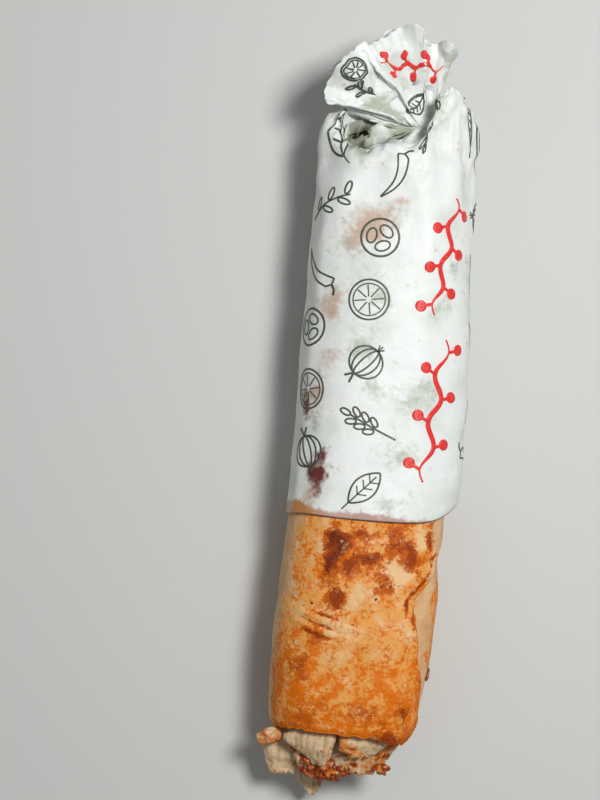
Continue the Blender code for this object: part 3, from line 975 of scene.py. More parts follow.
    def toasting(self, points: Array, angle: Array, winding: Array) -> dict[str, Array]:
        """Where the sheet is fried, browned, left pale or specked.

        Args:
            points: The outer face's points.
            angle: Their angle round the roll.
            winding: How far round the sheet they are.

        Returns:
            The marks that the bread's finish reads.
        """
        place = points / MM
        facing = np.abs(np.sin(angle)) + 0.12 * Noise(52).rough(place, 12.0, 3)
        on_top = np.sin(angle) > 0
        near_mouth = rising(-place[..., 1], 84, 104)
        fried = rising(facing, 0.30 - 0.3 * near_mouth, 0.85 - 0.3 * near_mouth)
        lower = 0.52 + (0.26 * near_mouth - 0.09 * (1 - near_mouth)) * on_top
        pale = np.where(on_top, patch_field(points, list(self.pale), 2.4, 31), 0)
        browned = np.where(on_top, patch_field(points, list(self.browned), 3.2, 21),
                           rising(Noise(41).rough(place, 11.0, 3), 0.15, 0.7))
        clouds = 0.16 * Noise(51).rough(place, 16.0, 3)
        inner = winding > FULL_TURN
        from_edge = turned_from(np.degrees(winding), 0)
        bare_strip = (from_edge < 0) * rising(from_edge, -26, -14) * rising(place[..., 1], -116, -106)
        crossing = rising(-place[..., 1], 50, 58) * rising(place[..., 1], -84, -78)
        browned = browned + 0.85 * bump(from_edge, 7, 2.4) * crossing
        browned = browned + 0.30 * bump(from_edge, 4, 4) * near_mouth
        # Darker lines in the wrinkles' valleys, added to the browned mark.
        browned = browned + 0.8 * self.beside_wrinkles(place[..., 1], angle) * ~inner
        turning = 0.75 * bump(from_edge, -37, 9) * rising(place[..., 1], -118, -108) * ~inner
        lip = self.lip(angle, winding)
        toasted_lip = 1 - rising((points[..., 1] - lip) / MM, 0.6, 3.0)
        size = self.speck_size
        speck = sum(bump(place[..., 0], x, size) * bump(place[..., 1], y, size) for x, y in self.specks)
        unfried = np.where(inner, 0.9, 0.9 - fried - toasted_lip)
        toasted = (lower + clouds - 0.5 * pale) * fried + 0.5 * toasted_lip + turning
        return {
            "fried": np.where(inner, 0.15, toasted),
            "browned": np.where(inner, 0.0, (browned - 0.6 * pale) * (0.35 + 0.65 * fried)),
            "unfried": np.clip(unfried + bare_strip - turning, 0, 1),
            "speck": np.where(on_top & ~inner, speck, 0.0)}

    def build(self) -> bpy.types.Object:
        """Makes the sheet: a grid of rows along the roll and columns round it, and its inner face.

        Returns:
            The sheet of bread.
        """
        outer = np.radians(np.arange(0, 360, self.outer_step))
        inner = FULL_TURN + np.radians(np.arange(0, 360 * (self.turns - 1) + 1, self.inner_step))
        winding = np.concatenate([outer, inner])
        share = np.linspace(0, 1, self.bare_rows)[:, None] ** self.crowding
        straight = self.form.mouth_y + share * (self.wrapped_from - self.form.mouth_y)
        lip = self.lip(self.seam_angle(straight) + winding, winding)
        bare = lip + share * (self.wrapped_from - lip)
        wrapped = np.linspace(self.wrapped_from, self.form.end_y, self.wrapped_rows)[1:, None]
        y = np.concatenate([bare, wrapped + 0 * winding])
        angle = self.seam_angle(y) + winding
        rounding = np.zeros(len(y))
        rounding[:3] = np.array(self.mouth_rounding) * self.sheet
        rounding[-2:] = self.end_rounding
        place = self.form.points(y, angle, self.inset(winding)) / MM
        outermost = winding < self.relief_to
        fine = 0.15 * Noise(3).at(place, 6.0) + 0.11 * Noise(4).at(place, 2.6)
        fine = fine + 0.06 * Noise(5).at(place, 1.3)
        rise = np.where(outermost, self.toasted_relief(y, angle), 0) + MM * fine
        rise *= np.where(y < self.relief_until, 1, 0)
        marks = self.toasting(place * MM, angle, winding)
        rise += 0.1 * MM * np.clip(marks["browned"], 0, 1) * outermost
        face = self.form.points(y, angle, self.inset(winding) + rounding[:, None] - rise)
        back = self.form.points(y, angle, self.inset(winding) + self.sheet - rounding[:, None] - rise)
        sheet = Surface(face, wraps=False, backing=back, marks=marks)
        return build_piece("flatbread_sheet", [sheet], ToastedBread(), ("flatbread",))


# Paper

@dataclass
class PaperWrap:
    """The paper: a sleeve round the roll, a shoulder with pleats, a tight neck, and a fan of folded paper."""

    form: RollForm = ROLL
    out: float = 1.0 * MM
    thickness: float = 0.2 * MM
    columns: int = 300
    sleeve_rows: int = 180
    shoulder_rows: int = 46
    fan_rows: int = 56
    lining_rows: int = 16
    neck: tuple = (10.8, 115.6, 33.0)
    neck_radii: tuple = (6.0, 4.5)
    fan_rise: float = 0.36
    crest: tuple = (
        (0, 123), (20, 126), (38, 131), (56, 132), (68, 126), (82, 109), (112, 108.5),
        (130, 116), (148, 122), (170, 121), (200, 120), (225, 121), (300, 121), (360, 123))
    shoulder: tuple = ((0.02, 0.6, 0.0), (0.18, 1.0, 0.0), (0.5, 1.0, 0.3), (0.8, 1.0, 0.75))
    front: tuple = (
        (0, 73, -1.0, 31.5), (9, 76, 0.8, 33.4), (18, 79, 1.5, 34.0), (27, 82.5, 0.2, 35.2),
        (36, 86, -2.0, 35.2), (45, 92, -0.5, 34.0), (50, 95.5, 2.6, 33.0), (54, 97, 4.5, 37.4),
        (68, 105, 3.0, 39.8),
        (81, 113, 2.0, 41), (95, 123, 2.6, 41), (106, 133, 3.6, 40), (112, 137.5, 3.4, 39),
        (115, 136.5, 2.2, 39.2), (118, 131, 0.2, 40.5), (121, 129.5, -1.4, 41.5), (124, 133, -2.0, 42.5),
        (129, 140, -1.6, 43), (137, 144.5, -0.4, 43.8), (144, 148.5, 1.4, 44.2), (151, 152.5, 3.8, 43.6),
        (158, 160.5, -2.4, 42.8), (162, 163.5, -3.0, 42.4), (169, 167.8, -0.2, 42.0), (174, 171, 0.8, 41.4),
        (180, 174, 0.0, 40.5))
    back: tuple = (
        (180, 174, 0.0, 40.5), (198, 166, -5.5, 41), (216, 155, -2.5, 43), (234, 140, -6.0, 42),
        (261, 116, -2.5, 41), (288, 97, -1.0, 36), (306, 87, -6.0, 34), (342, 78, -3.5, 33.6),
        (360, 73, -1.0, 31.5))
    main_flap_to: float = 112
    left_flap_from: float = 129
    between_flaps: float = 137.4
    deepest_crumple: float = 1.4 * MM
    deeper_in_front: float = 4.0 * MM
    highest_crumple: float = 0.7 * MM
    fan_crumple: float = 2.2 * MM
    # Oil stains seen from above. The strongest, at (-15, 110), paints near-black shade into the recess under
    # the fan's left flap.
    oil: tuple = (
        Patch(-8, 24, 6, 7, 0.8), Patch(-1, 12, 5, 7, 0.6), Patch(20, 10, 5, 8, 0.5),
        Patch(10, -17, 7, 6, 0.6), Patch(22, 42, 4, 5, 0.5), Patch(-14, 66, 9, 7, 0.5),
        Patch(26, 60, 3, 12, 0.4), Patch(2, 78, 9, 5, 0.4), Patch(-2, 114, 9, 4, 1.2),
        Patch(14, 124, 4, 7, 0.7), Patch(-15, 110, 4.0, 7, 2.7), Patch(20, 140, 3, 8, 0.8),
        Patch(-24, -6, 4, 7, 0.6), Patch(14, 4, 6, 7, 0.6), Patch(-2, 45, 5, 6, 0.5),
        Patch(8, -38, 8, 4, 0.5))
    pink: tuple = (
        Patch(-6, 74, 10, 7, 1.0), Patch(-13, 69, 8, 4, 0.7), Patch(-22, 42, 5, 8, 0.9),
        Patch(-20, 20, 5, 6, 0.6), Patch(-25, 6, 4, 9, 0.7), Patch(3, 84, 5, 3, 0.6),
        Patch(-24, -34, 5, 7, 0.8))
    sauced: tuple = (
        Patch(-22, -27, 4.2, 7.5, 1.2), Patch(-28, 1, 2.6, 7, 1.1), Patch(-20, -19, 2.6, 3, 0.6),
        Patch(-24, 24, 1.4, 1.4, 0.7))

    def degrees(self) -> Array:
        """Angle round the roll of each column."""
        return np.arange(self.columns) * 360 / self.columns

    def hem(self, degrees: Array) -> Array:
        """Y of the cut edge: straight over the roll, higher at the loose side, lower at the left.

        Args:
            degrees: Angle round the roll.

        Returns:
            The edge's y.
        """
        loose_side = 9.0 * bump(turned_from(degrees, -8), 0, 34)
        left_side = 1.8 * bump(turned_from(degrees, 180), 0, 40)
        return self.form.hem_y + MM * (loose_side - left_side + 0.5 * np.sin(np.radians(3 * degrees)))

    def loose(self, y: Array, degrees: Array) -> Array:
        """How far the paper stands off the roll at its right side, where it is loose."""
        swell = eased(y / MM, [(-44, 3.0), (-26, 4.8), (26, 4.4), (60, 2.6), (98, 1.2)])
        return MM * swell * bump(turned_from(degrees, -6), 0, 30)

    def creased(self, y: Array, degrees: Array) -> Array:
        """The solid's own shallow dents, long creases and pleats.

        Args:
            y: Place along the roll.
            degrees: Angle round it.

        Returns:
            Height above the plain sleeve.
        """
        along, turn = y / MM, np.radians(degrees)
        right = bump(turned_from(degrees, 62 + along / 14), 0, 9)
        left = bump(turned_from(degrees, 148 - along / 11), 0, 8)
        dents = 0.5 + 0.5 * np.sin(along / 11.0 + 3 * turn) * np.sin(2 * turn - along / 19.0)
        pleats = eased(along, [(70, 0), (98, 1)]) * (0.5 + 0.5 * np.cos(9 * turn))
        return MM * (0.45 * (right + left) + 0.6 * dents + 1.6 * pleats)

    def sleeve(self, y: Array, degrees: Array, outwards: Array) -> Array:
        """Points of the sleeve at y, which stay flat where the roll rests on them.

        Args:
            y: Place along the roll.
            degrees: Angle round it.
            outwards: How far the paper stands off its usual place.

        Returns:
            The points.
        """
        angle = np.radians(degrees)
        y, angle, outwards = np.broadcast_arrays(y, angle, outwards)
        plain = self.form.points(y, angle, np.full(y.shape, -self.out))
        loose = self.form.points(y, angle, -self.out - outwards)
        floor = self.form.low(y) - self.out
        resting = plain[..., 2] <= floor + 0.01 * MM
        points = np.where(resting[..., None], plain, loose)
        points[..., 2] = np.maximum(points[..., 2], floor)
        return points

    def neck_ring(self, degrees: Array) -> Array:
        """The gathered neck, a small ellipse.

        Args:
            degrees: Angle round it.

        Returns:
            The ellipse's points.
        """
        turn = np.radians(degrees)
        x = self.neck[0] + self.neck_radii[0] * np.cos(turn)
        z = self.neck[2] + self.neck_radii[1] * np.sin(turn)
        return MM * np.stack([x, np.full(turn.shape, self.neck[1]), z], axis=-1)

    def shoulder_grid(self, start: Array, degrees: Array) -> Array:
        """From the sleeve's last row over the crest and down into the neck, on a smooth curve.

        Args:
            start: The sleeve's last row.
            degrees: Its columns' angles.

        Returns:
            The shoulder's rows, without the first and the last.
        """
        neck = self.neck_ring(degrees)
        crest = MM * eased(degrees, self.crest)
        pleat = 1 + 0.05 * np.cos(np.radians(9 * degrees))
        rows = [start]
        for towards, climb, back in self.shoulder:
            row = start + (neck - start) * np.minimum(towards * pleat, 1)[:, None]
            y = self.form.end_y + (crest - self.form.end_y) * climb
            row[:, 1] = y + (MM * (self.neck[1] - 1) - y) * back
            rows.append(row)
        grid = smooth_through(np.stack(rows + [neck]), self.shoulder_rows + 2, closed=False)
        share = np.linspace(0, 1, self.shoulder_rows + 2)[:, None]
        turn = np.radians(degrees)
        folds = np.abs(np.sin(8.5 * turn + 1.4 * np.sin(3 * turn) + share)) - 0.6
        fine = np.abs(np.sin(17 * turn + 2 * np.sin(2 * turn) - 2 * share)) - 0.6
        depth = rising(share, 0.05, 0.4) * (1 - 0.75 * rising(share, 0.8, 1.0))
        in_front = bump(turned_from(degrees, 122), 0, 26)
        recess = 9.5 * bump(turned_from(degrees, 131), 0, 12) * bump(share, 0.48, 0.17)
        crumple = 4.0 * bump(turned_from(degrees, 103), 0, 20) * bump(share, 0.58, 0.2)
        under_lip = 1.5 * bump(share, 0.17 + 0.001 * turned_from(degrees, 90), 0.07) * bump(degrees, 82, 24)
        hollow = recess + crumple + under_lip
        height = (1.5 + 0.9 * in_front) * folds + (0.7 + 0.6 * in_front) * fine
        lifted = grid + grid_normals(grid) * (MM * (height * depth - hollow))[..., None]
        return lifted[1:-1]

    def fan_table(self, degrees: Array) -> tuple[Array, Array, Array]:
        """How the fan's paper runs at each column, between the rows of its two tables.

        Args:
            degrees: The columns' angles.

        Returns:
            The bearing in radians, the fold's height and the length.
        """
        front, back = np.array(self.front, float).T, np.array(self.back, float).T
        on_front = degrees <= 180
        bearing, fold, length = (
            np.where(on_front, np.interp(degrees, front[0], front[k]), np.interp(degrees, back[0], back[k]))
            for k in (1, 2, 3))
        return np.radians(bearing), fold * MM, length * MM

    def fan_grid(self, share: Array, degrees: Array) -> Array:
        """The fan: each column runs out from the neck on its bearing, rising and lifted by its fold.

        Args:
            share: How far out each row is, 0 at the neck and 1 at the rim, as a column of numbers.
            degrees: The columns' angles.

        Returns:
            The fan's rows.
        """
        bearing, fold, length = self.fan_table(degrees)
        turn = np.radians(degrees)
        torn = 0.012 * np.sin(31 * turn) * np.sin(13 * turn) + 0.03 * np.sin(7 * turn)
        ragged_left = 0.035 * np.abs(np.sin(38 * turn)) * bump(degrees, 108, 14)
        out = share * length * (1 + torn - ragged_left)
        x = MM * self.neck[0] + out * np.cos(bearing)
        y = MM * self.neck[1] + out * np.sin(bearing)
        curl = 1.2 * MM * rising(share, 0.8, 1.0) * np.sin(5 * turn + 1)
        curl = curl + 3.0 * MM * rising(share, 0.3, 1.0) * bump(turned_from(degrees, 160), 0, 30)
        folded = np.maximum(share - 0.72 - 0.10 * bump(degrees, 88, 16), 0) / 0.28
        curl = curl - 6.5 * MM * folded * rising(degrees, 62, 80) * (degrees <= self.main_flap_to)
        z = MM * self.neck[2] + self.fan_rise * out + fold * share + curl
        neck = self.neck_ring(degrees)
        opened = np.minimum(1.0, 2 * share)[..., None]
        return neck + (np.stack([x, y, z], axis=-1) - neck) * opened

    def crumpled_sleeve(self, degrees: Array) -> Array:
        """The sleeve's rows: the solid's form with shallow facets that grow towards the gathered end.

        Args:
            degrees: The columns' angles.

        Returns:
            The rows from the hem to the shoulder.
        """
        hem = self.hem(degrees)
        share = np.linspace(0, 1, self.sleeve_rows)[:, None]
        y = hem + share * (self.form.end_y - hem)
        standing_off = self.loose(y, degrees) + self.creased(y, degrees)
        place = self.sleeve(y, degrees, standing_off) / MM
        facets = Creases(61, 17.0, 0.07).height(place) + Creases(62, 12.0, 0.06, valleys=True).height(place)
        small = Creases(63, 6.5, 0.07).height(place)
        near_end = rising(y / MM, 55, 98)
        strength = 0.34 + 0.5 * near_end + 0.35 * bump(turned_from(degrees, 0), 0, 34)
        settle = rising(y - hem, 0, 3 * MM) * 0.8 + 0.2
        outwards = MM * (np.maximum(facets + 0.45, 0) * strength + (0.22 + 0.4 * near_end) * small) * settle
        return self.sleeve(y, degrees, standing_off + np.maximum(outwards, -0.4 * MM))

    def crumpled_end(self, start: Array, degrees: Array) -> Array:
        """The shoulder and the fan with sharp facets, moved along the normals.

        The shoulder is drawn in, most of all in front under the fan's left flap. The fan's main flap and its
        right corner stay smoother than the rest, and nothing goes below the sleeve's underside.

        Args:
            start: The sleeve's last row.
            degrees: The columns' angles.

        Returns:
            The rows from the shoulder to the fan's rim.
        """
        fan = self.fan_grid(np.linspace(0, 1, self.fan_rows)[:, None], degrees)
        upper = np.concatenate([self.shoulder_grid(start, degrees), fan])
        place = upper / MM
        facets = Creases(71, 11.0, 0.40).height(place) + Creases(72, 7.5, 0.36, valleys=True).height(place)
        facets = facets + 0.9 * Creases(73, 4.4, 0.42).height(place)
        rows = np.arange(len(upper))[:, None]
        into = rising(rows, 0, 8)
        at_neck = 1 - 0.8 * bump(rows, self.shoulder_rows + 2, 8)
        on_flap = rising(rows, self.shoulder_rows, self.shoulder_rows + 8)
        to_left = rising(degrees, self.main_flap_to, self.left_flap_from)
        smooth_flap = 1 - 0.72 * on_flap * rising(degrees, 16, 32) * (1 - 0.5 * to_left)
        crisp_corner = 1 - 0.85 * on_flap * bump(turned_from(degrees, 4), 0, 22)
        crumpled = 0.8 * MM * facets * into * at_neck * smooth_flap * crisp_corner
        deepest = self.deepest_crumple + self.deeper_in_front * bump(turned_from(degrees, 112), 0, 34)
        drawn_in = np.clip(crumpled - MM * into * at_neck, -deepest, self.highest_crumple)
        on_fan = np.clip(crumpled, -self.fan_crumple, self.fan_crumple)
        crumpled = np.where(rows < self.shoulder_rows, drawn_in, on_fan)
        upper = upper + grid_normals(upper) * crumpled[..., None]
        upper[..., 2] = np.maximum(upper[..., 2], self.form.low(self.form.end_y) - self.out)
        return upper

    def grid(self) -> Array:
        """The whole outside as one grid, crumpled more and more towards the fan.

        Returns:
            Rows from the hem to the fan's rim, by columns round the roll.
        """
        degrees = self.degrees()
        sleeve = self.crumpled_sleeve(degrees)
        return np.concatenate([sleeve, self.crumpled_end(sleeve[-1], degrees)])

    def marks(self, points: Array, degrees: Array) -> dict[str, Array]:
        """Where oil and sauce have marked the paper, from patches seen from above and a soaked hem. The oiled
        mark's strongest patch also paints shade into the recess under the fan's left flap.

        Args:
            points: The paper's points.
            degrees: Its columns' angles.

        Returns:
            The marks that the paper's finish reads.
        """
        place = points / MM
        on_top = np.broadcast_to(np.sin(np.radians(degrees)) > -0.15, place.shape[:-1])
        soaked_reach = 3.0 + 1.4 * Noise(81).rough(place * [1, 0, 1], 11.0, 2)
        soaked_reach = soaked_reach - 2.8 * rising(place[..., 0], 4, 20)
        at_left = bump(turned_from(degrees, 158), 0, 24)
        soaked_reach = soaked_reach + 3.6 * at_left + 0.5 * Noise(86).rough(place, 3.0, 3)
        above_hem = (points[..., 1] - self.hem(degrees)) / MM
        under = rising(Noise(82).rough(place, 24.0, 3), 0.25, 0.8)
        return {
            # The oiled mark carries the oil stains and, where it is strongest, painted shade in the recess
            # under the fan's left flap.
            "oiled": np.where(on_top, patch_field(points, list(self.oil), 3.0, 83), 0.8 * under),
            "pinkish": np.where(on_top, patch_field(points, list(self.pink), 2.6, 84), 0.0),
            "soaked": 0.9 * (1 - rising(above_hem, soaked_reach - 1.6, soaked_reach + 2.2)),
            "left_hem": rising(-place[..., 0], 14, 25),
            "sauce": np.where(on_top, patch_field(points, list(self.sauced), 1.8, 85), 0.0)}

    def build(self) -> bpy.types.Object:
        """Makes the paper as one closed skin: hidden end, lining, outside, and the fan's inner face.

        Returns:
            The paper.
        """
        degrees = self.degrees()
        outside = self.grid()
        normals = grid_normals(outside)
        under = outside - normals * self.thickness
        lining = under[self.lining_rows * 2 - 1::-2]
        hidden_y = np.linspace(self.form.end_y + 4 * MM, self.form.hem_y + 40 * MM, 8)[:, None]
        hidden = self.form.points(hidden_y, np.radians(degrees), np.full((8, 1), -0.6 * MM))
        inside = under[:-self.fan_rows // 2:-1]
        points = np.concatenate([hidden, lining, outside, inside])
        piece = Surface(points, marks=self.marks(points, degrees))
        return build_piece("paper_wrap_sheet", [piece], GreaseproofPaper(), ("paper_wrap",))


# Print on the paper

@dataclass(frozen=True)
class Stroke:
    """A pen line on flat paper: its points in mm and its width at each."""

    line: Array
    width: Array


def pen(line: Array, width: float, tapered: bool = False, step: float = 0.55) -> Stroke:
    """A stroke resampled at even steps.

    Args:
        line: Points in mm.
        width: Its width in mm.
        tapered: Whether it thins towards its ends.
        step: Distance between samples, in mm.

    Returns:
        The stroke.
    """
    length = np.concatenate([[0], np.cumsum(np.linalg.norm(np.diff(line, axis=0), axis=1))])
    count = max(4, int(length[-1] / step))
    at = np.linspace(0, length[-1], count)
    even = np.stack([np.interp(at, length, line[:, k]) for k in (0, 1)], axis=1)
    share = np.linspace(0, 1, count)
    swell = np.clip(np.minimum(share, 1 - share) / 0.25, 0.35, 1) if tapered else np.ones(count)
    return Stroke(even, width * swell)


class Motifs:
    """Simple figures in pen lines, each about its own middle, in mm."""

    LINE = 0.74

    @classmethod
    def oval(cls, long: float, wide: float) -> list[Stroke]:
        """An oval's outline."""
        angle = np.linspace(0, FULL_TURN, 40)
        return [pen(np.stack([wide / 2 * np.sin(angle), -long / 2 * np.cos(angle)], axis=1), cls.LINE)]

    @classmethod
    def onion(cls, size: float) -> list[Stroke]:
        """A bulb: ovals of one height and less and less width, with two shoots and three roots.

        Args:
            size: The figure's size in mm.

        Returns:
            The strokes.
        """
        made = []
        for share in (1.0, 0.64, 0.26):
            made += cls.oval(0.74 * size, 0.8 * size * share)
        for tip in ((-0.09, 0.6), (0.11, 0.56)):
            made.append(pen(size * np.array([(0, 0.37), tip]), cls.LINE * 1.2))
        for tip in ((-0.08, -0.5), (0, -0.53), (0.08, -0.5)):
            made.append(pen(size * np.array([(0, -0.37), tip]), cls.LINE * 0.8))
        return made

    @classmethod
    def tomato(cls, size: float) -> list[Stroke]:
        """A cut fruit with three rounded chambers.

        Args:
            size: The figure's size in mm.

        Returns:
            The strokes.
        """
        made = cls.ring(size / 2, cls.LINE * 1.2)
        for turn in (0, 120, 240):
            chamber = moved(cls.oval(0.26 * size, 0.4 * size), (0, 0.23 * size), 0)
            made += moved(chamber, (0, 0), turn)
        return made

    @classmethod
    def wheat(cls, size: float) -> list[Stroke]:
        """An ear of grain: a stalk, pairs of grains that lean outwards, and one grain on top.

        Args:
            size: The figure's size in mm.

        Returns:
            The strokes.
        """
        made = [pen(size * np.array([(0.03, -0.55), (0, -0.1), (0, 0.36)]), cls.LINE)]
        for place, side in product((-0.06, 0.12, 0.30), (-1, 1)):
            made += moved(cls.oval(0.2 * size, 0.1 * size), (side * 0.1 * size, place * size), -side * 30)
        return made + moved(cls.oval(0.2 * size, 0.1 * size), (0, 0.47 * size), 0)

    @classmethod
    def twig(cls, size: float) -> list[Stroke]:
        """A bent stem with narrow leaves by turns on either side.

        Args:
            size: The figure's size in mm.

        Returns:
            The strokes.
        """
        along = np.linspace(-0.5, 0.5, 30)
        made = [pen(size * np.stack([0.3 * along ** 2, along], axis=1), cls.LINE)]
        for k, place in enumerate((-0.28, -0.1, 0.08, 0.26, 0.44)):
            side = 1 if k % 2 else -1
            middle = (size * (0.3 * place ** 2 + 0.12 * side), size * (place + 0.08))
            made += moved(cls.oval(0.25 * size, 0.1 * size), middle, -48 * side)
        return made

    @classmethod
    def leaf(cls, size: float) -> list[Stroke]:
        """A leaf with its middle vein and side veins.

        Args:
            size: The figure's size in mm.

        Returns:
            The strokes.
        """
        along = np.linspace(-0.5, 0.5, 24)
        side = 0.26 * np.cos(along * math.pi) ** 0.8
        made = [pen(size * np.stack([sign * side, along], axis=1), cls.LINE) for sign in (-1, 1)]
        made.append(pen(size * np.array([(0, -0.72), (0, 0.38)]), cls.LINE * 0.8))
        for place, sign in product((-0.22, -0.02, 0.18), (-1, 1)):
            made.append(pen(size * np.array([(0, place), (sign * 0.16, place + 0.13)]), cls.LINE * 0.7))
        return made

    @classmethod
    def citrus(cls, size: float) -> list[Stroke]:
        """A cut fruit: two rings and the spokes between its segments.

        Args:
            size: The figure's size in mm.

        Returns:
            The strokes.
        """
        made = cls.ring(size / 2, cls.LINE) + cls.ring(size * 0.4, cls.LINE * 0.7)
        for turn in np.arange(0, FULL_TURN, FULL_TURN / 8):
            spoke = np.array([(0.08, 0), (0.37, 0)]) @ np.array([[np.cos(turn), np.sin(turn)], [0, 0]])
            made.append(pen(size * spoke, cls.LINE * 0.7))
        return made

    @classmethod
    def pepper(cls, size: float) -> list[Stroke]:
        """A long pod, bent, with its stalk.

        Args:
            size: The figure's size in mm.

        Returns:
            The strokes.
        """
        along = np.linspace(0, 1, 30)
        bend = 0.16 * np.sin(along * math.pi)
        half = 0.13 * (1 - along) ** 0.7
        made = [pen(size * np.stack([bend + sign * half, 0.5 - along], axis=1), cls.LINE) for sign in (-1, 1)]
        made.append(pen(size * np.array([(-0.13, 0.5), (0, 0.56), (0.13, 0.5)]), cls.LINE))
        made.append(pen(size * np.array([(0, 0.56), (0.03, 0.68), (0.12, 0.76)]), cls.LINE * 1.3))
        return made

    @classmethod
    def ring(cls, radius: float, width: float) -> list[Stroke]:
        """A ring."""
        angle = np.linspace(0, FULL_TURN, 64)
        return [pen(radius * np.stack([np.cos(angle), np.sin(angle)], axis=1), width)]

    @classmethod
    def berries(cls, length: float, width: float, reach: float) -> list[Stroke]:
        """A bold twig that follows a sine wave, with a round berry on a short stalk at each of its bends.

        Args:
            length: The twig's length in mm.
            width: Its width in mm at the middle.
            reach: How far a berry stands off its bend, in mm.

        Returns:
            The strokes.
        """
        waves = 3
        along = np.linspace(-0.5, 0.5, 120)
        swing = 0.04 * length
        line = np.stack([swing * np.sin(along * waves * FULL_TURN), length * along], axis=1)
        made = [pen(line, width, tapered=True)]
        for k in range(2 * waves):
            place = (2 * k + 1) / (4 * waves) - 0.5
            side = math.sin(place * waves * FULL_TURN)
            bend = (side * swing, length * place)
            berry = (side * (swing + reach), length * place + 0.4 * reach)
            made.append(pen(np.array([bend, berry]), width * 0.6))
            made += moved(cls.dot(width * 1.05), berry, 0)
        return made

    @classmethod
    def dot(cls, radius: float) -> list[Stroke]:
        """A round dot: a short stroke as wide at each place as the circle is."""
        along = np.linspace(-0.98, 0.98, 14)
        return [Stroke(radius * np.stack([0 * along, along], axis=1), 2 * radius * np.sqrt(1 - along ** 2))]


def moved(strokes: list[Stroke], to: tuple, turn: float) -> list[Stroke]:
    """Strokes turned and then moved to a place.

    Args:
        strokes: The strokes.
        to: The place in mm.
        turn: The turn in degrees.

    Returns:
        The moved strokes.
    """
    c, s = math.cos(math.radians(turn)), math.sin(math.radians(turn))
    spin = np.array([[c, s], [-s, c]])
    return [Stroke(stroke.line @ spin + to, stroke.width) for stroke in strokes]


